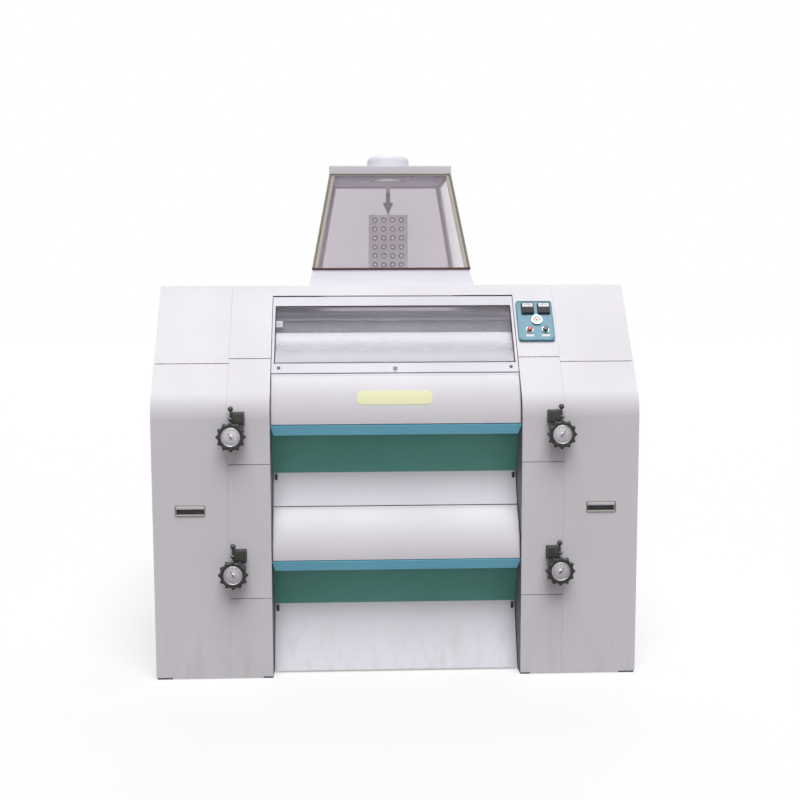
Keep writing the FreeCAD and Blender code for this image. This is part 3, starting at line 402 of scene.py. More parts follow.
@dataclass(frozen=True)
class Pane(Finish):
    """Clear glazing with a faint tint, a film of flour and, towards the foot, a veil of painted reflection."""

    colour: Colour = (0.62, 0.60, 0.68)
    cover: float = 0.10
    rear_cover: float = 0.10
    film: Colour = (0.86, 0.85, 0.88)
    low_reflection_veil: float = 0.0
    reflection_from: float = 1.290
    reflection_to: float = 1.388
    depth: float = 0.24

    def make(self, sheet: FinishSheet) -> bpy.types.Material:
        """Thin glass whose film of flour varies and grows towards the rear pane, and which grows more opaque
        downwards as painted reflection.
        """
        cloud = sheet.noise(3.0, 3.0).steps(0.30, 0.75)
        rear = sheet.axis(1).steps(-self.depth, self.depth)
        # Below the band's heights the pane turns more opaque in its pale colour: painted reflection.
        low = 1 - sheet.axis(2).steps(self.reflection_from, self.reflection_to)
        cover = self.cover + cloud * 0.04 + rear * (self.rear_cover - self.cover) + low * self.low_reflection_veil
        return sheet.close(
            Base_Color=sheet.blend(cloud * 0.3, self.colour, self.film),
            Roughness=0.10 + cloud * 0.04,
            Alpha=cover,
            Coat_Weight=0.3,
        )


@dataclass(frozen=True)
class Moulding(Finish):
    """Moulded plastic or rubber."""

    colour: Colour = (0.05, 0.05, 0.055)
    rough: float = 0.35
    coat: float = 0.3

    def make(self, sheet: FinishSheet) -> bpy.types.Material:
        """Even colour with faint handling marks."""
        marks = sheet.noise(90.0, 4.0)
        lighter = tuple(min(1.0, c * 1.5 + 0.01) for c in self.colour)
        return sheet.close(
            Base_Color=sheet.blend(marks.steps(0.4, 0.8) * 0.35, self.colour, lighter),
            Roughness=self.rough + marks * 0.15,
            Coat_Weight=self.coat,
            Normal=sheet.relief(marks, 0.00008, 0.3),
        )


PAINT = PowderCoat("cream_powder_coat", (0.785, 0.765, 0.80), (0.73, 0.705, 0.745))
HOPPER_PAINT = PowderCoat("hopper_paint", (0.86, 0.87, 0.92), (0.78, 0.78, 0.84), 0.38, 0.1)
SASH_PAINT = PowderCoat("window_sash_paint", (0.70, 0.69, 0.76), (0.64, 0.63, 0.70), 0.38, 0.1)
# Flaps in a lighter, bluer copy of the body paint: painted light under the doors' overhang.
LIT_FLAP_PAINT = PowderCoat("flap_painted_light", (0.84, 0.82, 0.88), (0.79, 0.77, 0.83), 0.40, 0.3)
GREEN = PowderCoat("green_guard_paint", (0.150, 0.470, 0.385), (0.120, 0.385, 0.320), 0.40, 0.3)
BLUE = PowderCoat("blue_lip_paint", (0.26, 0.75, 0.95), (0.22, 0.66, 0.87), 0.36, 0.2)
PANEL = PowderCoat("blue_panel_paint", (0.085, 0.285, 0.385), (0.070, 0.240, 0.335), 0.34, 0.1)
LABEL = PowderCoat("yellow_label", (0.95, 0.94, 0.58), (0.90, 0.88, 0.52), 0.45, 0.0)
INNER = PowderCoat("inner_chute_paint", (0.46, 0.42, 0.50), (0.38, 0.345, 0.42), 0.5, 0.2)
CHEEK_PAINT = PowderCoat("feed_cheek_paint", (0.66, 0.63, 0.70), (0.56, 0.54, 0.61), 0.5, 0.0)
FRAME_GREY = PowderCoat("frame_grey_paint", (0.20, 0.20, 0.22), (0.14, 0.14, 0.16), 0.5, 0.5)
ENAMEL = CastEnamel("black_enamel")
STEEL = WorkedMetal("turned_steel")
CHROME = WorkedMetal("bright_rim", (0.80, 0.80, 0.82), 0.14, Lay.ALL_WAYS, (0.62, 0.61, 0.62))
DIAL_METAL = WorkedMetal("dial_face_metal", (0.74, 0.72, 0.76), 0.34, Lay.ALL_WAYS, (0.56, 0.53, 0.58))
FEELER_METAL = PowderCoat("feeler_lacquer", (0.92, 0.91, 0.93), (0.86, 0.85, 0.88), 0.35, 0.0)
FEED_METAL = PowderCoat("feed_roll_lacquer", (0.84, 0.82, 0.90), (0.82, 0.80, 0.87), 0.50, 0.0)
# Hopper frame: its glazing bars are brown-grey within the glass's heights, painted shade under the roof.
HOPPER_SHADE_BAND_COAT = PaintedShadeBand("hopper_painted_shade_band")
# Feed gate in a dark purple-grey, near black inside its band: painted shade of the chamber behind the window.
GATE_SHADE_PAINT = PaintedShadeBand("feed_gate_painted_shade_band", (0.34, 0.31, 0.41), (0.095, 0.085, 0.130), 1.30, 1.460)
RIB_PAINT = PowderCoat("feed_gate_rib_paint", (0.36, 0.33, 0.43), (0.30, 0.27, 0.36), 0.5, 0.0)
LINER = Moulding("feeler_liner", (0.075, 0.070, 0.075), 0.6, 0.0)
METER_CASE = Moulding("meter_case", (0.016, 0.016, 0.020), 0.6, 0.0)
# Pane beads in the same brown-grey as the bars: painted shade.
BAR_SHADE_PAINT = PowderCoat("glazing_bar_painted_shade", (0.57, 0.52, 0.47), (0.50, 0.455, 0.41), 0.42, 0.0)
HOPPER_GLASS = Pane("hopper_glass", (0.86, 0.74, 0.86), 0.14, 0.36, (0.90, 0.81, 0.89))
# The feed window's glass is veiled towards its foot: painted reflection, which also lightens the feed roll seen
# through it.
WINDOW_GLASS = Pane("window_glass", (0.70, 0.68, 0.77), 0.06, 0.06, (0.85, 0.82, 0.88), 0.40)
BLACK = Moulding("black_moulding")
RED = Moulding("red_button", (0.52, 0.03, 0.03), 0.25, 0.6)
WHITE = Moulding("white_scale", (0.82, 0.82, 0.80), 0.5, 0.0)
RUBBER = Moulding("gasket_rubber", (0.085, 0.035, 0.030), 0.7, 0.0)
OLIVE = Moulding("edge_trim", (0.28, 0.27, 0.20), 0.5, 0.1)


# ---------------------------------------------------------------- surfaces
# Corner numbers of a cuboid: its foot's four corners, then its head's.
CUBOID = np.array([[0, 1, 2, 3], [7, 6, 5, 4], [0, 4, 5, 1], [1, 5, 6, 2], [2, 6, 7, 3], [3, 7, 4, 0]])


@dataclass(frozen=True)
class Seat:
    """A flat place on the mill that small pieces are built on.

    across and up lie in the seat's plane, out stands off it.
    """

    origin: Tuple[float, float, float]
    across: Tuple[float, float, float] = (1.0, 0.0, 0.0)
    up: Tuple[float, float, float] = (0.0, 0.0, 1.0)

    def out(self) -> np.ndarray:
        """Direction off the seat: across times up."""
        return np.cross(np.array(self.across), np.array(self.up))

    def points(self, flat: np.ndarray, height: Any) -> np.ndarray:
        """Points over the seat: origin + x across + y up + height out.

        Args:
            flat: array (..., 2) of places in the seat's plane.
            height: height of each place off the plane.

        Returns:
            Array (..., 3) of points in the mill's frame.
        """
        spread = np.broadcast_to(np.asarray(height, float), flat.shape[:-1])
        return (
            np.array(self.origin)
            + flat[..., :1] * np.array(self.across)
            + flat[..., 1:2] * np.array(self.up)
            + spread[..., None] * self.out()
        )

    def moved(self, x: float, y: float, height: float = 0.0) -> "Seat":
        """The same seat with its origin shifted in its own directions."""
        spot = self.points(np.array([x, y]), height)
        return Seat(tuple(float(v) for v in spot), self.across, self.up)


def half_turned(seat: Seat) -> Seat:
    """The seat's copy on the back half: half a turn about the vertical."""
    return Seat(
        (-seat.origin[0], -seat.origin[1], seat.origin[2]),
        (-seat.across[0], -seat.across[1], seat.across[2]),
        (-seat.up[0], -seat.up[1], seat.up[2]),
    )


@dataclass(frozen=True)
class Disc:
    """Round outline."""

    radius: float

    def rim(self, inset: float, count: int = 64) -> np.ndarray:
        """Circle of the radius less the inset: (r cos t, r sin t)."""
        turn = np.linspace(0.0, 2 * np.pi, count, endpoint=False)
        radius = max(self.radius - inset, 1e-5)
        return np.stack([radius * np.cos(turn), radius * np.sin(turn)], axis=1)


@dataclass(frozen=True)
class Oblong:
    """Rectangle with round corners."""

    width: float
    height: float
    corner: float

    def rim(self, inset: float, count: int = 48) -> np.ndarray:
        """Four quarter circles about the corners' centres, joined by straight sides.

        Args:
            inset: distance inside the full outline.
            count: points round the whole rim.

        Returns:
            Array (count, 2).
        """
        corner = max(self.corner - inset, 1e-5)
        half_x = self.width / 2 - inset - corner
        half_y = self.height / 2 - inset - corner
        turn = np.linspace(0.0, np.pi / 2, count // 4)
        quarter = np.arange(4)[:, None] * np.pi / 2 + turn[None, :]
        centre = np.array([[half_x, half_y], [-half_x, half_y], [-half_x, -half_y], [half_x, -half_y]])
        rim = corner * np.stack([np.cos(quarter), np.sin(quarter)], axis=2) + centre[:, None, :]
        return rim.reshape(-1, 2)


@dataclass(frozen=True)
class Lobed:
    """Round outline bitten by evenly spaced hollows, as on a handwheel."""

    radius: float
    lobes: int
    bite_centre: float
    bite_radius: float

    def rim(self, inset: float, count: int = 288) -> np.ndarray:
        """Radius at each angle: the circle, or the near side of the hollow's circle.

        At angle a off a hollow's middle the hollow begins at
        c cos a - sqrt(b^2 - c^2 sin^2 a); it fades out with the inset.

        Args:
            inset: distance inside the full outline.
            count: points round the whole rim.

        Returns:
            Array (count, 2).
        """
        turn = np.linspace(0.0, 2 * np.pi, count, endpoint=False)
        pitch = 2 * np.pi / self.lobes
        off = (turn + pitch / 2) % pitch - pitch / 2
        under = self.bite_radius**2 - (self.bite_centre * np.sin(off)) ** 2
        near = np.where(
            under > 0, self.bite_centre * np.cos(off) - np.sqrt(np.maximum(under, 0.0)), self.radius
        )
        depth = np.maximum(self.radius - np.minimum(near, self.radius), 0.0)
        depth = depth * max(0.0, 1.0 - inset / 0.016)
        radius = self.radius - inset - depth
        turn = turn + pitch / 2
        return np.stack([radius * np.cos(turn), radius * np.sin(turn)], axis=1)


def new_piece(name: str, points: np.ndarray, faces: Faces, finish: Finish, sharp: float = 40.0) -> Any:
    """Make a mesh object at the origin from points and faces.

    Args:
        name: name of the piece.
        points: array (n, 3).
        faces: corner numbers of each face.
        finish: finish of the whole piece.
        sharp: edges that turn by more degrees than this stay sharp.

    Returns:
        The object.
    """
    mesh = bpy.data.meshes.new(name)
    mesh.from_pydata(points.reshape(-1, 3).tolist(), [], [tuple(f) for f in faces])
    mesh.validate()
    mesh.shade_smooth()
    mesh.set_sharp_from_angle(angle=math.radians(sharp))
    mesh.materials.append(finish.material())
    made = bpy.data.objects.new(name, mesh)
    bpy.context.scene.collection.objects.link(made)
    return made


def grid_faces(rows: int, columns: int, wrap_rows: bool = False, wrap_columns: bool = True) -> np.ndarray:
    """Corner numbers of the quads of a grid whose points run row by row."""
    row = np.arange(rows if wrap_rows else rows - 1)
    column = np.arange(columns if wrap_columns else columns - 1)
    r, c = np.meshgrid(row, column, indexing="ij")
    r2, c2 = (r + 1) % rows, (c + 1) % columns
    quads = np.stack([r * columns + c, r * columns + c2, r2 * columns + c2, r2 * columns + c], axis=-1)
    return quads.reshape(-1, 4)


def stack(seat: Seat, shape: Any, levels: Levels) -> Surface:
    """Rims of a shape at (inset, height) levels, skinned and capped at both ends.

    Point(i, t) = rim of the i-th inset at angle t, raised by the i-th height.

    Args:
        seat: place the piece stands on.
        shape: outline with a rim method.
        levels: insets and heights from the foot to the last rim.

    Returns:
        Points and faces.
    """
    rims = np.stack([shape.rim(inset) for inset, _ in levels])
    heights = np.array([height for _, height in levels])[:, None]
    points = seat.points(rims, np.broadcast_to(heights, rims.shape[:2]))
    rows, columns = rims.shape[:2]
    faces: List[Sequence[int]] = grid_faces(rows, columns).tolist()
    faces.append(list(range(columns))[::-1])
    faces.append(list(range((rows - 1) * columns, rows * columns)))
    return points.reshape(-1, 3), faces


def joined(parts: Sequence[Tuple[np.ndarray, Faces]]) -> Surface:
    """Put several sets of points and faces into one."""
    points: List[np.ndarray] = []
    faces: List[Sequence[int]] = []
    start = 0
    for own, own_faces in parts:
        points.append(own.reshape(-1, 3))
        faces.extend([[i + start for i in face] for face in own_faces])
        start += len(points[-1])
    return np.concatenate(points), faces


def soft_levels(height: float, edge: float, foot: float = 0.0) -> Levels:
    """Levels of a plate whose upper edge is rounded by a quarter circle."""
    turn = np.linspace(0.0, np.pi / 2, 5)
    rise = [(float(edge * (1 - np.cos(t))), float(height - edge + edge * np.sin(t))) for t in turn]
    return [(0.0, foot)] + rise


def bead_levels(across: float, rise: float, count: int, sink: float = 0.0) -> Levels:
    """Levels of a bead of oval section: (across cos t, rise sin t - sink)."""
    turn = np.linspace(0.0, 2 * np.pi, count, endpoint=False)
    return [(float(across * math.cos(t)), float(rise * math.sin(t)) - sink) for t in turn]


def strokes(seat: Seat, turn: np.ndarray, ends: Tuple[Any, float], half: np.ndarray, rise: Tuple[float, float]) -> Surface:
    """Raised strokes of a scale: stroke k lies along the angle t_k, a cuboid of its own half width.

    Args:
        seat: place of the scale's middle.
        turn: angle of each stroke.
        ends: radius where each stroke starts, and the radius where all end.
        half: half the width of each stroke.
        rise: heights of their foot and head over the seat.

    Returns:
        Points and faces.
    """
    start, end = ends
    along = np.stack([np.cos(turn), np.sin(turn)], axis=1)
    beside = np.stack([-np.sin(turn), np.cos(turn)], axis=1) * half[:, None]
    low, high = along * start[:, None], along * end
    flat = np.stack([low - beside, high - beside, high + beside, low + beside], axis=1)
    points = np.stack([seat.points(flat, rise[0]), seat.points(flat, rise[1])], axis=1).reshape(-1, 3)
    faces = (np.arange(len(turn))[:, None, None] * 8 + CUBOID[None]).reshape(-1, 4)
    return points, faces.tolist()


def tube(path: np.ndarray, radius: Any, sides: int = 20) -> Surface:
    """Round tube along a path: path(s) + r (cos t a(s) + sin t b(s)), a and b square to the path.

    Args:
        path: array (n, 3) of points.
        radius: one radius, or one for each point.
        sides: points round the tube.

    Returns:
        Points and faces.
    """
    along = np.gradient(path, axis=0)
    along = along / np.linalg.norm(along, axis=1, keepdims=True)
    guide = np.array([1.0, 0.0, 0.0]) if abs(along[0, 0]) < 0.8 else np.array([0.0, 0.0, 1.0])
    first = np.cross(along, guide)
    first = first / np.linalg.norm(first, axis=1, keepdims=True)
    second = np.cross(along, first)
    turn = np.linspace(0.0, 2 * np.pi, sides, endpoint=False)
    radius = np.broadcast_to(np.asarray(radius, float), (len(path),))
    ring = first[:, None, :] * np.cos(turn)[None, :, None] + second[:, None, :] * np.sin(turn)[None, :, None]
    points = path[:, None, :] + ring * radius[:, None, None]
    faces: List[Sequence[int]] = grid_faces(len(path), sides).tolist()
    faces.append(list(range(sides))[::-1])
    faces.append(list(range((len(path) - 1) * sides, len(path) * sides)))
    return points.reshape(-1, 3), faces


def carried(section: np.ndarray, start: float, end: float) -> Surface:
    """Closed section in Y and Z carried along X from start to end, capped at both ends."""
    count = len(section)
    spots = np.array([start, end])
    points = np.empty((2, count, 3))
    points[..., 0] = spots[:, None]
    points[..., 1:] = section[None]
    faces: List[Sequence[int]] = grid_faces(2, count).tolist()
    faces.append(list(range(count))[::-1])
    faces.append(list(range(count, 2 * count)))
    return points.reshape(-1, 3), faces


def outward(piece: Any) -> Any:
    """Turn a closed piece's faces outwards."""
    work = bmesh.new()
    work.from_mesh(piece.data)
    bmesh.ops.recalc_face_normals(work, faces=work.faces)
    work.to_mesh(piece.data)
    work.free()
    return piece


def about_back(points: np.ndarray) -> np.ndarray:
    """The points' copy on the back half, half a turn about the vertical."""
    return points * np.array([-1.0, -1.0, 1.0])


# ---------------------------------------------------------------- shared sizes
@dataclass(frozen=True)
class Casing:
    """Main sizes of the casing, in metres."""

    half_depth: float = 0.750
    bend: float = 1.119
    lean_run: float = 0.312
    lean_rise: float = 0.479
    bay: float = 0.507
    side_gap: float = 0.003
    wheel_x: float = 0.657
    wheel_high: float = 1.000
    wheel_low: float = 0.445
    roll_rise: float = 0.120
    slow_roll_y: float = 0.550
    fast_roll_y: float = 0.2996

    def lean(self) -> Tuple[float, float]:
        """Run and rise of one metre up the leaning face."""
        length = math.hypot(self.lean_run, self.lean_rise)
        return self.lean_run / length, self.lean_rise / length

    def face(self, z: float) -> float:
        """Y of the leaning front face at a height: the depth plus the lean above the bend."""
        return -self.half_depth + (z - self.bend) * self.lean_run / self.lean_rise

    def slope(self, x: float, z: float) -> Seat:
        """Seat on the leaning front face at a place across and a height."""
        return Seat((x, self.face(z), z), (1.0, 0.0, 0.0), (0.0, *self.lean()))


CASING = Casing()


class Half(Enum):
    """The two working sides of the mill."""

    FRONT = "front"
    BACK = "back"

    def seat(self, seat: Seat) -> Seat:
        """The seat on this side."""
        return seat if self is Half.FRONT else half_turned(seat)

    def points(self, points: np.ndarray) -> np.ndarray:
        """The points on this side."""
        return points if self is Half.FRONT else about_back(points)


class Level(Enum):
    """The two roll passages of each side, with the height of their handwheels."""

    UPPER = ("upper", CASING.wheel_high)
    LOWER = ("lower", CASING.wheel_low)


def dress(names: Sequence[str], finish: Finish) -> None:
    """Give CAD nodes one finish.

    Args:
        names: names of the nodes.
        finish: their finish.
    """
    for name in names:
        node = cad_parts[name]
        node.data.materials.clear()
        node.data.materials.append(finish.material())


def keep(piece: Any, body: str, slot: str, *nodes: str) -> Any:
    """Let a piece ride on a body and hide the nodes it stands for.

    Args:
        piece: the object.
        body: CAD body it moves with.
        slot: material slot of the record; not used.
        nodes: CAD nodes that it replaces.

    Returns:
        The object.
    """
    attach(piece, body)
    if nodes:
        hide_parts(*nodes)
    LOG.info("%s rides on %s", piece.name, body)
    return piece


# ---------------------------------------------------------------- handwheels, dials and levers
@dataclass
class Handwheel:
    """Lobed handwheel with its dial, hub, spindle and the lock lever above it."""

    half: Half
    level: Level
    end: str
    radius: float = 0.060
    thick: float = 0.026
    stand_off: float = 0.034
    dial: float = 0.0350
    recess: float = 0.004
    lever_rise: float = 0.066
    lever_length: float = 0.042
    ball: float = 0.011
    lobes: int = 12
    bite_centre: float = 0.0672
    bite_radius: float = 0.0152
    edge: float = 0.007
    bush: float = 0.020
    spindle: float = 0.0119
    spindle_reach: float = 0.098
    scale_strokes: int = 48
    scale_end: float = 0.0314
    block_shift: float = 0.003

    def side(self) -> float:
        """-1 at the left end, 1 at the right end."""
        return -1.0 if self.end == "left" else 1.0

    def name(self, thing: str) -> str:
        """Name of one of this wheel's pieces."""
        return f"{self.half.value}_{self.level.value[0]}_{self.end}_{thing}"

    def seat(self) -> Seat:
        """Seat at the wheel's back face, facing the operator."""
        y = -(CASING.half_depth + self.stand_off)
        return self.half.seat(Seat((self.side() * CASING.wheel_x, y, self.level.value[1])))

    def wheel(self) -> Any:
        """Cast wheel: rims of a lobed disc with rounded edges, dished for the dial."""
        shape = Lobed(self.radius, self.lobes, self.bite_centre, self.bite_radius)
        edge = self.edge
        turn = np.linspace(0.0, np.pi / 2, 6)
        back = [(edge * (1 - math.sin(t)), edge * (1 - math.cos(t))) for t in turn]
        top = [(edge * (1 - math.cos(t)), self.thick - edge + edge * math.sin(t)) for t in turn]
        brim = self.radius - self.dial
        inner = [(brim - 0.003, self.thick), (brim - 0.0005, self.thick - 0.001), (brim, self.thick - self.recess)]
        body = stack(self.seat(), shape, back + top + inner)
        bush = stack(self.seat(), Disc(self.bush), [(0.001, -0.0335), (0.0, -0.0325), (0.0, 0.001)])
        tip = -self.stand_off - self.spindle_reach
        rod = stack(self.seat(), Disc(self.spindle), [(0.001, tip), (0.0, tip + 0.001), (0.0, -0.033)])
        return outward(new_piece(self.name("wheel"), *joined([body, bush, rod]), ENAMEL))

    def face(self) -> Any:
        """Dial plate with a raised middle boss."""
        seat = self.seat().moved(0.0, 0.0, self.thick - self.recess)
        plate = stack(seat, Disc(self.dial - 0.0005), soft_levels(0.0012, 0.0006, 0.0001))
        boss = stack(seat, Disc(0.0095), soft_levels(0.0058, 0.0016, 0.001))
        return outward(new_piece(self.name("dial_plate"), *joined([plate, boss]), DIAL_METAL))

    def bezel(self) -> Any:
        """Bright ring round the dial: a small circle carried round the dial's edge."""
        turn = np.linspace(0.0, 2 * np.pi, 72, endpoint=False)
        around = np.linspace(0.0, 2 * np.pi, 10, endpoint=False)
        radius = self.dial + 0.0012 + 0.0017 * np.cos(around)
        height = self.thick - 0.0004 + 0.0017 * np.sin(around)
        flat = np.stack([radius[:, None] * np.cos(turn), radius[:, None] * np.sin(turn)], axis=2)
        points = self.seat().points(flat, np.broadcast_to(height[:, None], flat.shape[:2]))
        faces = grid_faces(10, 72, wrap_rows=True)
        return outward(new_piece(self.name("dial_ring"), points, faces, STEEL))

    def marks(self) -> Any:
        """Forty-eight raised strokes, every fourth one long, and a tapering pointer."""
        seat = self.seat().moved(0.0, 0.0, self.thick - self.recess + 0.0011)
        number = np.arange(self.scale_strokes)
        turn = number * 2 * np.pi / self.scale_strokes
        long = number % 4 == 0
        inner = np.where(long, 0.0240, 0.0272)
        half = np.where(long, 0.00055, 0.00030)
        scale = strokes(seat, turn, (inner, self.scale_end), half, (0.0, 0.0005))
        tilt = 0.9 if self.side() > 0 else 2.1
        d = np.array([math.cos(tilt), math.sin(tilt)])
        e = np.array([-d[1], d[0]])
        needle = np.stack([d * 0.027, e * 0.0022 - d * 0.004, -d * 0.012, -e * 0.0022 - d * 0.004])
        tips = np.concatenate([seat.points(needle, 0.0048), seat.points(needle, 0.0056)])
        arrow = (tips, CUBOID.tolist())
        return outward(new_piece(self.name("dial_marks"), *joined([scale, arrow]), BLACK))

    def lever(self) -> Any:
        """Lock lever: boss, tapering rod and a turned ball."""
        x = self.side() * (CASING.wheel_x - self.block_shift + 0.0005 + 0.005)
        z = self.level.value[1] + self.lever_rise
        y = -(CASING.half_depth + 0.018)
        turn = np.linspace(0.0, np.pi, 17)
        ball_z = z + self.lever_length - self.ball * np.cos(turn)
        ball_r = np.maximum(self.ball * np.sin(turn), 1e-5)
        rise = np.linspace(z + 0.006, z + self.lever_length - self.ball * 0.9, 8)
        shank = np.linspace(0.0055, 0.0038, 8)
        spots = np.concatenate([rise, ball_z[2:]])
        radii = np.concatenate([shank, ball_r[2:]])
        path = np.stack([np.full_like(spots, x), np.full_like(spots, y), spots], axis=1)
        rod = tube(path, radii, 24)
        side = np.array([x - 0.005, x - 0.0042, x + 0.0042, x + 0.005])
        pin = np.stack([side, np.full(4, y), np.full(4, z)], axis=1)
        hub = tube(pin, np.array([0.0078, 0.009, 0.009, 0.0078]), 28)
        points, faces = joined([rod, hub])
        return outward(new_piece(self.name("lever_arm"), self.half.points(points), faces, BLACK))

    def block(self) -> Any:
        """Cast bracket of the lever with two cap screws in its face."""
        x = self.side() * (CASING.wheel_x - self.block_shift - 0.023)
        z = self.level.value[1] + 0.044 + 0.024
        seat = self.half.seat(Seat((x, -CASING.half_depth, z)))
        plate = stack(seat, Oblong(0.050, 0.054, 0.004), soft_levels(0.006, 0.0015, 0.0002))
        hood = stack(seat, Oblong(0.0464, 0.0484, 0.003), soft_levels(0.0304, 0.003, 0.005))
        levels = [(0.0, -0.001), (0.0, 0.0028), (0.0006, 0.0034), (0.0022, 0.0034), (0.0022, 0.0014)]
        heads = [stack(seat.moved(spot, -0.012, 0.0303), Disc(0.0048), levels) for spot in (-0.013, 0.013)]
        return outward(new_piece(self.name("lever_bracket"), *joined([plate, hood] + heads), ENAMEL))

    def build(self) -> None:
        """Make every piece and let it ride."""
        wheel_node = self.name("handwheel")
        keep(self.wheel(), wheel_node, "dark_parts", wheel_node)
        keep(self.face(), wheel_node, "steel")
        keep(self.bezel(), wheel_node, "steel")
        keep(self.marks(), wheel_node, "dark_parts")
        lever_node = self.name("lock_lever")
        keep(self.lever(), lever_node, "dark_parts", lever_node)
        keep(self.block(), "mill", "dark_parts")


# ---------------------------------------------------------------- roll bays
@dataclass
class RollBay:
    """Bulging roll door, its bead and the catches of the inspection flap of one passage."""

    half: Half
    level: Level
    tall: float
    back: float
    foot_rise: float = 0.040
    recess: float = 0.013
    skin: float = 0.003
    hinge: float = 0.008
    hem: float = 0.024
    cheek: float = 0.004
    steps: int = 56

    def name(self, thing: str) -> str:
        """Name of one of this bay's pieces."""
        return f"{self.half.value}_{self.level.value[0]}_{thing}"

    def arc(self, inset: float, share: np.ndarray) -> np.ndarray:
        """Door section: the arc through its foot and setback top, about a centre at foot height.

        With radius R = (b^2 + h^2) / 2b the outer face is centre - sqrt((R - inset)^2 - (z - z0)^2).

        Args:
            inset: distance inside the outer face.
            share: heights as shares of the door's height below its hinge.

        Returns:
            Array (n, 2) of Y and Z.
        """
        foot_z = self.level.value[1] + self.foot_rise
        radius = (self.back**2 + self.tall**2) / (2 * self.back)
        centre = -CASING.half_depth + self.recess + radius
        z = foot_z + share * (self.tall - self.hinge)
        y = centre - np.sqrt((radius - inset) ** 2 - (z - foot_z) ** 2)
        return np.stack([y, z], axis=1)

    def hinge_axis(self) -> Tuple[float, float]:
        """Y and Z of the door's hinge."""
        y = -CASING.half_depth + self.recess + self.back + 0.003
        return y, self.level.value[1] + self.foot_rise + self.tall - self.hinge

    def door(self) -> Any:
        """Door sheet on its arc with a folded hem, end cheeks and rolled hinge."""
        reach = CASING.bay - CASING.side_gap
        share = np.linspace(0.0, 1.0, self.steps)
        outer = self.arc(0.0, share)
        inner = self.arc(self.skin, share)[::-1]
        sheet = carried(np.concatenate([outer, inner]), -reach, reach)
        foot_y, foot_z = outer[0]
        corners = [(0.0008, 0.0), (self.hem, 0.0), (self.hem, self.skin), (0.0008, self.skin)]
        hem = np.array([foot_y, foot_z]) + np.array(corners)
        y, z = self.hinge_axis()
        side = np.array([-reach, -reach + 0.0008, reach - 0.0008, reach])
        axis = np.stack([side, np.full(4, y), np.full(4, z)], axis=1)
        roll = tube(axis, np.array([0.9, 1.0, 1.0, 0.9]) * self.hinge, 40)
        cheek = np.concatenate([outer, [[y + 0.004, z], [foot_y + 0.042, foot_z]]])
        parts = [sheet, carried(hem, -reach, reach), roll]
        parts += [carried(cheek, -reach, -reach + self.cheek), carried(cheek, reach - self.cheek, reach)]
        points, faces = joined(parts)
        return outward(new_piece(self.name("door_sheet"), self.half.points(points), faces, PAINT, 30.0))

    def handle_lip(self) -> Any:
        """Thin bead along the door's foot, where fingers lift it."""
        reach = CASING.bay - CASING.side_gap - 0.003
        foot = self.arc(0.0, np.array([0.0]))[0]
        x = np.linspace(-reach, reach, 6)
        path = np.stack([x, np.full(6, foot[0] + 0.0022), np.full(6, foot[1] + 0.0022)], axis=1)
        points, faces = tube(path, 0.0026, 16)
        return new_piece(self.name("door_bead"), self.half.points(points), faces, PAINT)

    def latches(self) -> Any:
        """Small black catches at both ends of the flap's upper edge."""
        high = np.array([-CASING.half_depth + 0.1555, self.level.value[1] - 0.1785])
        parts = []
        for way in (-1.0, 1.0):
            seat = Seat((way * (CASING.bay - 0.013), float(high[0]) - 0.007, float(high[1]) - 0.018))
            parts.append(stack(seat, Oblong(0.012, 0.030, 0.003), soft_levels(0.008, 0.002, -0.004)))
            parts.append(stack(seat.moved(0.0, 0.006, 0.007), Disc(0.0042), soft_levels(0.006, 0.0015, 0.0)))
        points, faces = joined(parts)
        return outward(new_piece(self.name("flap_catches"), self.half.points(points), faces, BLACK))

    def build(self) -> None:
        """Make every piece and let it ride."""
        keep(self.door(), self.name("roll_door"), "paint", self.name("roll_door"))
        keep(self.handle_lip(), self.name("roll_door"), "paint")
        keep(self.latches(), self.name("flap"), "dark_parts")


# Height and setback of the doors of each passage.
DOORS = {Level.UPPER: (0.198, 0.066), Level.LOWER: (0.203, 0.084)}


@dataclass
class BareLabel:
    """Bare yellow plate on the upper door's bulge, following its curve."""

    bay: RollBay
    width: float = 0.302
    low: float = 1.117
    high: float = 1.172
    shift: float = -0.006
    thick: float = 0.0012

    def build(self) -> None:
        """Plate as a grid on the door's arc, lifted by its thickness, with rounded ends."""
        foot = self.bay.level.value[1] + self.bay.foot_rise
        columns, rows = 49, 13
        across = np.sin(np.linspace(-np.pi / 2, np.pi / 2, columns))
        share = np.linspace(0.0, 1.0, rows)
        middle, half = (self.low + self.high) / 2, (self.high - self.low) / 2
        x = self.shift + across * self.width / 2
        end = 2 * half / self.width * 0.70
        side = np.maximum(0.0, np.abs(across) - (1 - end)) / end
        tall = half * np.sqrt(np.maximum(1 - 0.86 * side**2, 0.1))
        z = middle + (share[:, None] * 2 - 1) * tall[None, :]
        on_door = (z.ravel() - foot) / (self.bay.tall - self.bay.hinge)
        flat = self.bay.arc(-self.thick, on_door)
        low = self.bay.arc(0.0002, on_door)
        xs = np.broadcast_to(x[None, :], z.shape).ravel()
        outer = np.column_stack([xs, flat])
        inner = np.column_stack([xs, low])
        count = len(outer)
        faces = grid_faces(rows, columns, wrap_columns=False).tolist()
        grid = np.arange(count).reshape(rows, columns)
        rim = np.concatenate([grid[0], grid[1:, -1], grid[-1, -2::-1], grid[-2:0:-1, 0]]).tolist()
        wall = [[a, b, b + count, a + count] for a, b in zip(rim, rim[1:] + rim[:1])]
        points = np.concatenate([outer, inner])
        faces += [[i + count for i in face[::-1]] for face in faces] + wall
        keep(outward(new_piece("front_bare_label", points, faces, LABEL)), self.bay.name("roll_door"), "paint")


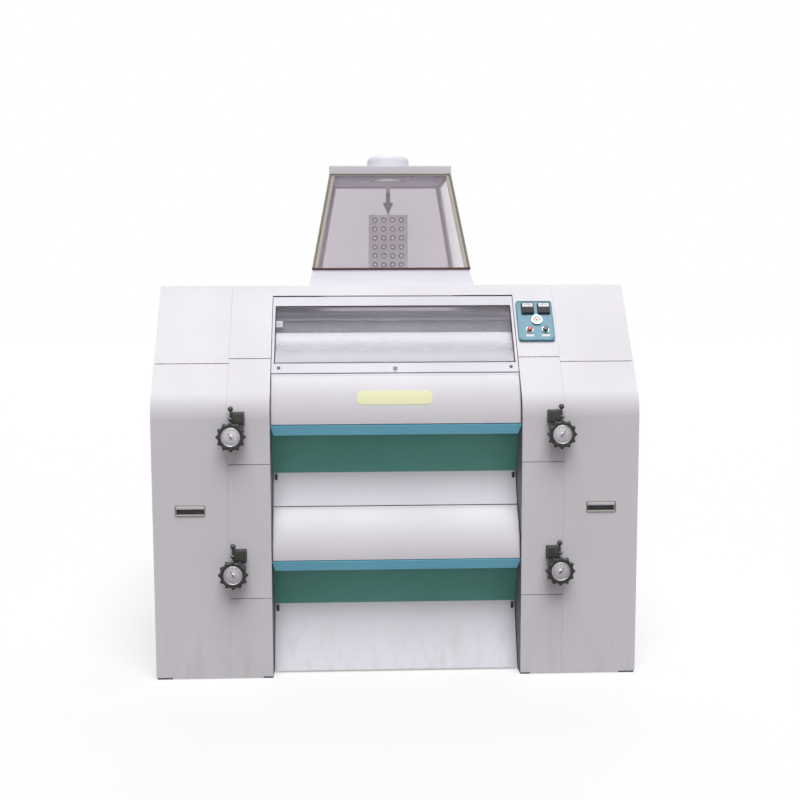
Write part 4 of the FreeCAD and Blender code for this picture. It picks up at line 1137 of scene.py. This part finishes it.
# ---------------------------------------------------------------- hopper
def band(seat: Seat, shape: Any, levels: Levels) -> Surface:
    """Ring of closed section: rims of a shape at (inset, height) levels that come back to the first."""
    rims = np.stack([shape.rim(inset) for inset, _ in levels])
    heights = np.array([height for _, height in levels])[:, None]
    points = seat.points(rims, np.broadcast_to(heights, rims.shape[:2]))
    faces = grid_faces(rims.shape[0], rims.shape[1], wrap_rows=True).tolist()
    return points.reshape(-1, 3), faces


def bolt(seat: Seat, radius: float, height: float = 0.0045) -> Surface:
    """Hexagon head on a washer: six-sided rims with the points cut back."""
    turn = np.arange(6) * np.pi / 3
    flat = np.stack([np.cos(turn), np.sin(turn)], axis=1)
    rows = np.stack([flat * radius, flat * radius, flat * radius * 0.86])
    heights = np.array([[0.001], [height], [height + 0.0007]])
    points = seat.points(rows, np.broadcast_to(heights, (3, 6))).reshape(-1, 3)
    faces: List[Sequence[int]] = grid_faces(3, 6).tolist()
    faces.append([12, 13, 14, 15, 16, 17])
    faces.append([5, 4, 3, 2, 1, 0])
    washer = stack(seat, Disc(radius * 1.5), [(0.0, -0.0005), (0.0, 0.0012), (0.0004, 0.0016)])
    return joined([(points, faces), washer])


@dataclass
class Hopper:
    """Glazed hopper with its gaskets, corner trims, roof band and inlet."""

    foot: Tuple[float, float] = (0.341, 0.332)
    top: Tuple[float, float] = (0.262, 0.246)
    glass_low: float = 1.668
    roof: float = 2.088
    roof_high: float = 0.034
    bar: float = 0.018
    flange: float = 0.122
    mouth: float = 0.0665
    bolt_circle: float = 0.109

    def flat(self, z: float) -> Seat:
        """Level seat at a height over the middle of the mill."""
        return Seat((0.0, 0.0, z), (1.0, 0.0, 0.0), (0.0, 1.0, 0.0))

    def gaskets(self) -> Any:
        """Dark rubber bead round the foot of the glass."""
        shape = Oblong(2 * self.foot[0] + 0.004, 2 * self.foot[1] + 0.004, 0.006)
        bead = band(self.flat(self.glass_low + 0.004), shape, bead_levels(0.0035, 0.0045, 10))
        return outward(new_piece("hopper_gaskets", *bead, RUBBER))

    def trims(self) -> Any:
        """Half-round strips up the four corner posts."""
        parts = []
        share = np.linspace(0.02, 0.985, 6)[:, None]
        for sx in (-1.0, 1.0):
            for sy in (-1.0, 1.0):
                low = np.array([sx * self.foot[0], sy * self.foot[1], self.glass_low])
                high = np.array([sx * self.top[0], sy * self.top[1], self.roof])
                parts.append(tube(low + (high - low) * share, 0.0052, 14))
        return outward(new_piece("hopper_corner_trims", *joined(parts), OLIVE))

    def pane_beads(self) -> Any:
        """Thin beads that hold the panes in their bars, front and back and sides, in the bars' darker brown-grey coat
        of painted shade.
        """
        parts = []
        low_z, high_z = self.glass_low + 0.006, self.roof - 0.006
        for axis in (0, 1):
            for way in (-1.0, 1.0):
                other = 1 - axis
                rim = []
                for z, grow in ((low_z, 1), (low_z, -1), (high_z, -1), (high_z, 1)):
                    share = (z - self.glass_low) / (self.roof - self.glass_low)
                    half = np.array(self.foot) + (np.array(self.top) - np.array(self.foot)) * share
                    spot = np.zeros(3)
                    spot[axis] = way * (half[axis] + 0.0008)
                    spot[other] = grow * (half[other] - self.bar)
                    spot[2] = z
                    rim.append(spot)
                for i in range(4):
                    line = np.linspace(rim[i], rim[(i + 1) % 4], 3)
                    parts.append(tube(line, 0.0026, 10))
        return outward(new_piece("hopper_pane_beads", *joined(parts), BAR_SHADE_PAINT))

    def roof_band(self) -> Any:
        """Painted band round the roof with rounded edges and a folded inner lip."""
        shape = Oblong(2 * self.top[0] + 0.0134, 2 * self.top[1] + 0.0134, 0.006)
        turn = np.linspace(0.0, np.pi / 2, 6)
        edge = 0.006
        top = self.roof_high + 0.0008
        levels = [(0.0024, -0.0006), (0.0, 0.0008)]
        levels += [(float(edge * (1 - math.cos(t))), float(top - edge + edge * math.sin(t))) for t in turn]
        levels += [(0.030, top), (0.030, self.roof_high - 0.001)]
        return outward(new_piece("hopper_roof_band", *band(self.flat(self.roof), shape, levels), PAINT))

    def inlet_flange(self) -> Any:
        """Flange round the inlet's foot and a rolled bead at its mouth."""
        base = self.roof + self.roof_high
        levels = [(0.0, 0.0), (0.0, 0.003), (0.001, 0.004), (0.0255, 0.004), (0.0255, 0.0)]
        foot = band(self.flat(base), Disc(self.flange), levels)
        mouth = band(self.flat(base + 0.0755), Disc(self.mouth), bead_levels(0.0032, 0.0032, 12))
        return outward(new_piece("inlet_flange", *joined([foot, mouth]), HOPPER_PAINT))

    def inlet_bolts(self) -> Any:
        """Eight hexagon screws round the inlet's flange."""
        base = self.flat(self.roof + self.roof_high + 0.004)
        turn = np.arange(8) * np.pi / 4 + np.pi / 8
        spots = [(self.bolt_circle * math.cos(t), self.bolt_circle * math.sin(t)) for t in turn]
        parts = [bolt(base.moved(x, y), 0.0055) for x, y in spots]
        return outward(new_piece("inlet_bolts", *joined(parts), STEEL))

    def build(self) -> None:
        """Make every piece and let it ride."""
        keep(self.gaskets(), "mill", "dark_parts")
        keep(self.trims(), "mill", "dark_parts")
        keep(self.pane_beads(), "mill", "paint")
        keep(self.roof_band(), "mill", "paint")
        keep(self.inlet_flange(), "mill", "paint")
        keep(self.inlet_bolts(), "mill", "steel")


@dataclass
class Feeler:
    """Rims and liners of the level feeler's holes, and the coupling of its rod."""

    top: float = 1.932
    pitch: float = 0.041
    hole: float = 0.013
    columns: int = 4
    rows: int = 6
    first: float = 0.6
    face: float = 0.0021

    def holes(self, y: float, across: float) -> List[Seat]:
        """Seats of the holes at a depth, their X turned to the side given by 1 or -1."""
        middle = (self.columns - 1) / 2
        return [
            Seat((self.pitch * (i - middle), y, self.top - self.pitch * (k + self.first)), (across, 0.0, 0.0))
            for i in range(self.columns)
            for k in range(self.rows)
        ]

    def build(self) -> None:
        """A small ring on each face of the blade at every hole, a liner inside it, and the coupling."""
        both = self.holes(-self.face, 1.0) + self.holes(self.face, -1.0)
        rims = [band(seat, Disc(self.hole + 0.0010), bead_levels(0.0014, 0.0012, 8)) for seat in both]
        keep(outward(new_piece("feeler_hole_rims", *joined(rims), STEEL)), "level_feeler", "aluminium")
        section = [(0.0, -0.0019), (0.0, 0.0019), (0.0035, 0.0019)]
        section += [(0.0080, 0.0007), (0.0080, -0.0007), (0.0035, -0.0019)]
        cups = [band(seat, Disc(self.hole + 0.0006), section) for seat in self.holes(0.0, 1.0)]
        keep(outward(new_piece("feeler_hole_liners", *joined(cups), LINER)), "level_feeler", "dark_parts")
        levels = [(0.0185, 0.006), (0.0165, 0.0155), (0.0004, 0.050), (0.0, 0.0525), (0.0008, 0.0545)]
        levels += [(0.0130, 0.0550), (0.0130, 0.0900), (0.0140, 0.1015), (0.0160, 0.1025)]
        coupling = stack(Seat((0.0, 0.0, self.top), (1.0, 0.0, 0.0), (0.0, 1.0, 0.0)), Disc(0.0235), levels)
        keep(outward(new_piece("feeler_coupling", *coupling, ENAMEL)), "level_feeler", "dark_parts")


# ---------------------------------------------------------------- feed windows
@dataclass
class FeedWindow:
    """Gasket, knob and screws of a hinged feed window, and what shows behind its glass."""

    half: Half
    top: float = 1.553
    low: float = 1.243
    side_bar: float = 0.012
    top_bar: float = 0.050
    low_bar: float = 0.047
    screw_inset: float = 0.030
    rib: float = 0.0075
    rib_y: float = -0.4500
    rib_z: float = 1.4550

    def build(self) -> None:
        """Rubber round the pane, a moulded knob and two corner screws a side."""
        length = (self.top - self.low) / CASING.lean()[1]
        reach = CASING.bay - CASING.side_gap
        seat = self.half.seat(CASING.slope(0.0, self.top))
        body = f"{self.half.value}_window"
        wide = 2 * (reach - self.side_bar)
        tall = length - self.top_bar - self.low_bar
        middle = seat.moved(0.0, -(self.top_bar + tall / 2), 0.0)
        rubber = band(middle, Oblong(wide, tall, 0.003), bead_levels(0.0022, 0.0022, 10, 0.0012))
        keep(outward(new_piece(f"{body}_gasket", *rubber, RUBBER)), body, "dark_parts")
        knob = seat.moved(0.0, self.low_bar / 2 - length, 0.0)
        levels = [(0.0015, 0.0), (0.002, 0.004), (0.0008, 0.006), (0.0, 0.008)]
        levels += [(0.0, 0.010), (0.001, 0.0115), (0.004, 0.012)]
        keep(outward(new_piece(f"{body}_knob", *stack(knob, Disc(0.0065), levels), BLACK)), body, "dark_parts")
        spots = (-reach + self.screw_inset, reach - self.screw_inset)
        screws = [bolt(seat.moved(x, self.low_bar / 2 - length), 0.0048, 0.0034) for x in spots]
        keep(outward(new_piece(f"{body}_screws", *joined(screws), ENAMEL)), body, "dark_parts")
        edge = seat.moved(0.0, -length + self.low_bar - 0.0015, 0.0)
        levels = [(0.0, -0.0004), (0.0, 0.0008), (0.0007, 0.0012), (0.0007, -0.0004)]
        bead = band(edge, Oblong(2 * reach - 0.010, 0.0024, 0.0011), levels)
        keep(outward(new_piece(f"{body}_bead", *bead, OLIVE)), body, "dark_frame")
        self.inside()

    def inside(self) -> None:
        """Rib on the feed gate, painted cheeks at the ends of the feed chamber and a bearing block."""
        side = self.half.value
        reach = CASING.bay - CASING.side_gap
        turn = np.linspace(0.0, 2 * np.pi, 20, endpoint=False)
        rib = np.stack([self.rib_y + self.rib * np.cos(turn), self.rib_z + self.rib * np.sin(turn)], axis=1)
        points, faces = carried(rib, 0.003 - reach, reach - 0.003)
        made = new_piece(f"{side}_feed_gate_rib", self.half.points(points), faces, RIB_PAINT)
        keep(outward(made), f"{side}_feed_gate", "steel")
        cheek = np.array([(-0.562, 1.378), (-0.463, 1.530), (-0.445, 1.530), (-0.456, 1.470), (-0.472, 1.378)])
        cheeks = [carried(cheek, way * CASING.bay, way * (CASING.bay - 0.0014)) for way in (-1.0, 1.0)]
        points, faces = joined(cheeks)
        made = new_piece(f"{side}_feed_cheeks", self.half.points(points), faces, CHEEK_PAINT)
        keep(outward(made), "mill", "sheet")
        block = [(-0.508, 1.424), (-0.508, 1.446), (-0.505, 1.450), (-0.486, 1.450), (-0.483, 1.446), (-0.483, 1.424)]
        points, faces = carried(np.array(block), -CASING.bay, -CASING.bay + 0.042)
        made = new_piece(f"{side}_feed_block", self.half.points(points), faces, HOPPER_PAINT)
        keep(outward(made), "mill", "sheet")


# ---------------------------------------------------------------- control panel
@dataclass
class ControlPanel:
    """Meters, gauge, buttons' bezels and screws of the blue panel."""

    x: float = 0.592
    z: float = 1.443
    width: float = 0.148
    height: float = 0.190
    thick: float = 0.010
    shift: float = 0.005
    meter_x: float = 0.034
    meter_y: float = 0.057
    button_x: float = 0.033
    button_y: float = -0.046
    tag_y: float = -0.0745
    screw_inset: float = 0.009

    def seat(self) -> Seat:
        """Seat on the panel's outer face."""
        return CASING.slope(self.x, self.z).moved(0.0, 0.0, self.thick)

    def rim(self) -> Any:
        """Raised edge bead round the plate."""
        shape = Oblong(self.width + 0.003, self.height + 0.003, 0.011)
        levels = [(0.0, -self.thick), (0.0, 0.0006), (0.001, 0.0018), (0.0032, 0.0018)]
        levels += [(0.004, 0.0002), (0.0015, -self.thick)]
        return outward(new_piece("panel_rim", *band(self.seat(), shape, levels), PANEL))

    def meters(self) -> None:
        """Two square meters: black body, pale scale, strokes and a needle."""
        for side, way in (("left", -1.0), ("right", 1.0)):
            spot = self.seat().moved(way * self.meter_x + self.shift, self.meter_y, 0.0)
            case = stack(spot, Oblong(0.052, 0.052, 0.004), soft_levels(0.0105, 0.002, 0.0002))
            keep(outward(new_piece(f"meter_{side}_case", *case, METER_CASE)), "mill", "black_button")
            scale_seat = spot.moved(0.0, 0.0125, 0.0)
            scale = stack(scale_seat, Oblong(0.044, 0.018, 0.002), soft_levels(0.0113, 0.0004, 0.0100))
            keep(outward(new_piece(f"meter_{side}_scale", *scale, WHITE)), "mill", "panel_blue")
            self.fan(f"meter_{side}_strokes", spot.moved(0.0, -0.003, 0.0113), 0.022, 13, 0.6, 0.36 * way)

    def fan(self, name: str, seat: Seat, radius: float, count: int, spread: float, lean: float) -> None:
        """Fan of scale strokes and a needle about the seat's origin.

        Stroke k stands at angle pi/2 + spread (1 - 2k/(count - 1)) and runs from 0.84 r to r;
        the needle runs from 0.40 r.

        Args:
            name: name of the piece.
            seat: place of the needle's pivot.
            radius: outer end of the strokes.
            count: number of strokes.
            spread: half the scale's angle.
            lean: angle of the needle off the upright.
        """
        turn = np.pi / 2 + spread * (1 - 2 * np.arange(count) / (count - 1))
        turn = np.append(turn, np.pi / 2 + lean)
        low = np.append(np.full(count, radius * 0.84), radius * 0.40)
        wide = np.append(np.full(count, 0.00035), 0.0005)
        made = new_piece(name, *strokes(seat, turn, (low, radius), wide, (-0.0002, 0.0006)), BLACK)
        keep(outward(made), "mill", "black_button")

    def gauge(self) -> None:
        """Round gauge: bright bezel, white dial, strokes and a red needle hub."""
        spot = self.seat().moved(self.shift, 0.0, 0.0)
        levels = [(0.0, 0.0002), (0.0, 0.007), (0.0012, 0.0084), (0.0030, 0.0084), (0.0040, 0.0068), (0.0040, 0.0002)]
        keep(outward(new_piece("gauge_bezel", *band(spot, Disc(0.0226), levels), CHROME)), "mill", "steel")
        dial = stack(spot, Disc(0.0192), [(0.0, 0.0058), (0.0, 0.0070)])
        keep(outward(new_piece("gauge_dial", *dial, WHITE)), "mill", "panel_blue")
        self.fan("gauge_strokes", spot.moved(0.0, -0.002, 0.0070), 0.0165, 15, 2.1, 0.6)
        hub = stack(spot.moved(0.0, -0.002, 0.0068), Disc(0.0028), soft_levels(0.0022, 0.0008))
        keep(outward(new_piece("gauge_hub", *hub, RED)), "mill", "red_button")

    def tags(self) -> None:
        """Two bare white tags below the buttons."""
        for side, way in (("left", -1.0), ("right", 1.0)):
            spot = self.seat().moved(way * self.button_x + self.shift, self.tag_y, 0.0)
            tag = stack(spot, Oblong(0.034, 0.011, 0.0015), soft_levels(0.0009, 0.0003))
            keep(outward(new_piece(f"button_tag_{side}", *tag, WHITE)), "mill", "panel_blue")

    def buttons(self) -> None:
        """Domed caps of the stop and start buttons, and their bezels."""
        edge = [(0.0, 0.0002), (0.0, 0.0020), (0.0006, 0.0030), (0.0024, 0.0030), (0.0030, 0.0022), (0.0032, 0.0002)]
        dome = [(0.0008, 0.0052), (0.0, 0.006), (0.0, 0.0105), (0.0006, 0.0122)]
        dome += [(0.002, 0.0134), (0.005, 0.0140), (0.009, 0.0142)]
        kinds = (("stop_button", -1.0, RED, "red_button"), ("start_button", 1.0, BLACK, "black_button"))
        for name, way, finish, slot_name in kinds:
            spot = self.seat().moved(way * self.button_x + self.shift, self.button_y, 0.0)
            ring = band(spot, Disc(0.0150), edge)
            keep(outward(new_piece(f"{name}_bezel", *ring, STEEL)), "mill", "steel")
            stem = stack(spot, Disc(0.0074), [(0.0, -0.0045), (0.0, 0.006)])
            head = stack(spot, Disc(0.011), dome)
            keep(outward(new_piece(f"{name}_cap", *joined([stem, head]), finish)), name, slot_name, name)

    def screws(self) -> Any:
        """Four small screws at the corners."""
        parts = []
        half_x, half_y = self.width / 2 - self.screw_inset, self.height / 2 - self.screw_inset
        levels = [(0.0, 0.0), (0.0, 0.0012), (0.0012, 0.0020), (0.003, 0.0022)]
        for sx in (-1, 1):
            for sy in (-1, 1):
                parts.append(stack(self.seat().moved(sx * half_x, sy * half_y, 0.0), Disc(0.0036), levels))
        return outward(new_piece("panel_screws", *joined(parts), PANEL))

    def build(self) -> None:
        """Make every piece and let it ride."""
        keep(self.rim(), "mill", "panel_blue")
        self.meters()
        self.gauge()
        self.tags()
        self.buttons()
        keep(self.screws(), "mill", "steel")


# ---------------------------------------------------------------- hood pulls
@dataclass
class FlushPull:
    """Bezel, a dark plate of painted shade in the cup, and grip of a flush pull in a side hood."""

    half: Half
    end: str
    x: float = 0.830
    z: float = 0.697
    width: float = 0.116
    height: float = 0.040
    bead: float = 0.0022

    def build(self) -> None:
        """A rounded bezel on the sheet, a dark plate at the bottom of the cup as painted shade, and a bright grip."""
        way = -1.0 if self.end == "left" else 1.0
        seat = self.half.seat(Seat((way * self.x, -CASING.half_depth, self.z)))
        hood = f"{self.end}_hood"
        if self.half is Half.BACK:
            hood = ("right" if self.end == "left" else "left") + "_hood"
        turn = np.linspace(0.0, np.pi, 7)
        levels = [(0.0, -0.0002)]
        levels += [(float(self.bead - self.bead * math.cos(t)), float(0.0030 * math.sin(t)) + 0.0006) for t in turn]
        levels += [(2 * self.bead, -0.0002)]
        ring = band(seat, Oblong(self.width + 0.006, self.height + 0.006, 0.006), levels)
        name = f"{self.half.value}_{self.end}_pull"
        keep(outward(new_piece(f"{name}_bezel", *ring, OLIVE)), hood, "dark_parts")
        # A black plate low in the cup stands for the shade inside it: painted shade.
        cup = Oblong(self.width - 0.005, 0.0225, 0.002)
        shade_plate = stack(seat.moved(0.0, -0.0065, 0.0), cup, [(0.0, -0.0228), (0.0, -0.0215)])
        keep(outward(new_piece(f"{name}_liner", *shade_plate, BLACK)), hood, "dark_parts")
        bar = Oblong(self.width - 0.004, 0.0135, 0.003)
        lip = stack(seat.moved(0.0, 0.0125, 0.0), bar, soft_levels(0.0022, 0.0010, -0.0005))
        keep(outward(new_piece(f"{name}_grip", *lip, DIAL_METAL)), hood, "steel")


# ---------------------------------------------------------------- CAD nodes
class Kind(Enum):
    """Groups of CAD nodes that share a finish."""

    PAINTED = ("column_panels", "top_cover", "cabinet_caps", "left_hood", "right_hood")
    HOPPER = ("hopper_frame",)
    SASHES = ("front_window_sash", "back_window_sash")
    GUARDS = ("roll_guards",)
    LIPS = ("lip_strips",)
    INNER = ("product_chutes",)
    FRAME = ("main_frame",)
    BLOCKS = ("lever_blocks",)
    PANEL = ("control_panel",)


def dress_nodes() -> None:
    """Give every CAD node that stays in sight its finish."""
    finishes = {
        Kind.PAINTED: PAINT,
        Kind.HOPPER: HOPPER_SHADE_BAND_COAT,
        Kind.SASHES: SASH_PAINT,
        Kind.GUARDS: GREEN,
        Kind.LIPS: BLUE,
        Kind.INNER: INNER,
        Kind.FRAME: FRAME_GREY,
        Kind.BLOCKS: ENAMEL,
        Kind.PANEL: PANEL,
    }
    for kind, finish in finishes.items():
        dress(kind.value, finish)
    dress(["hopper_panes"], HOPPER_GLASS)
    dress(["level_feeler"], FEELER_METAL)
    for half in Half:
        side = half.value
        dress([f"{side}_window_pane"], WINDOW_GLASS)
        dress([f"{side}_feed_roll"], FEED_METAL)
        dress([f"{side}_feed_gate"], GATE_SHADE_PAINT)
        way = -1.0 if half is Half.FRONT else 1.0
        for level in Level:
            name = f"{side}_{level.value[0]}"
            z = level.value[1] + CASING.roll_rise
            dress([f"{name}_fast_roll"], FlutedIron(f"{name}_fast_iron", way * CASING.fast_roll_y, z))
            dress([f"{name}_slow_roll"], FlutedIron(f"{name}_slow_iron", way * CASING.slow_roll_y, z))
            dress([f"{name}_roll_carrier"], FRAME_GREY)
            dress([f"{name}_flap"], LIT_FLAP_PAINT)


# ---------------------------------------------------------------- studio
@dataclass
class Studio:
    """Pale floor, soft light and the camera at the photograph's angle."""

    eye: Tuple[float, float, float] = (-0.199, -4.785, 1.518)
    pitch: float = 5.46
    yaw: float = 1.84
    roll: float = -0.26
    focal: float = 1016.0
    middle: Tuple[float, float] = (379.2, 401.4)
    picture: float = 800.0
    sensor: float = 36.0
    floor_half: float = 40.0
    floor_seen: Colour = (0.93, 0.93, 0.93)
    floor_worn: Colour = (0.90, 0.90, 0.905)
    floor_bounce: Colour = (0.26, 0.24, 0.25)
    lamp_colour: Colour = (0.975, 0.99, 1.0)
    sky_colour: Colour = (1.0, 0.90, 0.925)
    sky_power: float = 0.16

    def floor(self) -> None:
        """White floor that keeps a soft shadow of the mill."""
        sheet = FinishSheet(bpy.data.materials.new("pale_floor"))
        ray = sheet.node("ShaderNodeLightPath", {}, {})
        seen = Signal(sheet, ray.outputs["Is Camera Ray"])
        grain = sheet.noise(3.0, 3.0)
        near = sheet.blend(grain * 0.2, self.floor_seen, self.floor_worn)
        shader = sheet.node(
            "ShaderNodeBsdfPrincipled",
            {},
            {"Base Color": sheet.blend(seen, self.floor_bounce, near), "Roughness": 0.85},
        )
        glow = sheet.node("ShaderNodeEmission", {}, {"Color": (1.0, 1.0, 1.0), "Strength": 1.0})
        mix = sheet.node("ShaderNodeMixShader", {}, {0: seen * 0.45, 1: shader.outputs[0], 2: glow.outputs[0]})
        sheet.node("ShaderNodeOutputMaterial", {}, {0: mix.outputs[0]})
        mesh = bpy.data.meshes.new("floor")
        size = self.floor_half
        mesh.from_pydata([(-size, -size, 0), (size, -size, 0), (size, size, 0), (-size, size, 0)], [], [(0, 1, 2, 3)])
        mesh.materials.append(sheet.owner)
        made = bpy.data.objects.new("floor", mesh)
        bpy.context.scene.collection.objects.link(made)

    def light(self) -> None:
        """Soft suns from above the front, low in front and behind, each with power, angle, tilt and turn."""
        suns = (("key", 2.62, 40.0, 24.0, 4.0), ("fill", 0.24, 40.0, 62.0, -3.0), ("back", 0.5, 40.0, 40.0, 172.0))
        for name, power, angle, tilt, turn in suns:
            lamp = bpy.data.lights.new(name, "SUN")
            lamp.energy = power
            lamp.angle = math.radians(angle)
            lamp.color = self.lamp_colour
            made = bpy.data.objects.new(name, lamp)
            made.rotation_euler = (math.radians(tilt), 0.0, math.radians(turn))
            bpy.context.scene.collection.objects.link(made)

    def sky(self) -> None:
        """Even weak light from all round, white where the camera, gloss or glass looks at it."""
        world = bpy.data.worlds.new("studio")
        bpy.context.scene.world = world
        sheet = FinishSheet(world)
        ray = sheet.node("ShaderNodeLightPath", {}, {}).outputs
        seen = Signal(sheet, ray["Is Camera Ray"])
        seen = seen.join("MAXIMUM", seen, ray["Is Glossy Ray"])
        seen = seen.join("MAXIMUM", seen, ray["Is Transmission Ray"])
        soft = sheet.node("ShaderNodeBackground", {}, {0: self.sky_colour, 1: self.sky_power})
        white = sheet.node("ShaderNodeBackground", {}, {0: (1.0, 1.0, 1.0)})
        mix = sheet.node("ShaderNodeMixShader", {}, {0: seen, 1: soft.outputs[0], 2: white.outputs[0]})
        sheet.node("ShaderNodeOutputWorld", {}, {0: mix.outputs[0]})

    def camera(self) -> None:
        """Camera at the photograph's place, with its small shift off the middle."""
        data = bpy.data.cameras.new("camera")
        data.sensor_width = self.sensor
        data.lens = self.focal / self.picture * self.sensor
        data.shift_x = (self.picture / 2 - self.middle[0]) / self.picture
        data.shift_y = (self.middle[1] - self.picture / 2) / self.picture
        data.clip_end = 200.0
        made = bpy.data.objects.new("camera", data)
        made.location = self.eye
        turn = Matrix.Rotation(math.radians(-self.yaw), 4, "Z")
        turn = turn @ Matrix.Rotation(math.radians(90.0 - self.pitch), 4, "X")
        turn = turn @ Matrix.Rotation(math.radians(self.roll), 4, "Z")
        made.rotation_euler = turn.to_euler()
        bpy.context.scene.collection.objects.link(made)
        bpy.context.scene.camera = made

    def build(self) -> None:
        """Set the stage."""
        bpy.context.scene.view_settings.view_transform = "Standard"
        self.floor()
        self.light()
        self.sky()
        self.camera()


def main() -> None:
    """Set the stage, dress the nodes and build every sub-assembly."""
    logging.basicConfig(level=logging.INFO, format="%(message)s")
    Studio().build()
    dress_nodes()
    for half in Half:
        for level in Level:
            bay = RollBay(half, level, *DOORS[level])
            bay.build()
            if half is Half.FRONT and level is Level.UPPER:
                BareLabel(bay).build()
            for end in ("left", "right"):
                Handwheel(half, level, end).build()
        FeedWindow(half).build()
        for end in ("left", "right"):
            FlushPull(half, end).build()
    Hopper().build()
    Feeler().build()
    ControlPanel().build()
    bpy.context.view_layer.update()


if __name__ == "__main__":
    main()
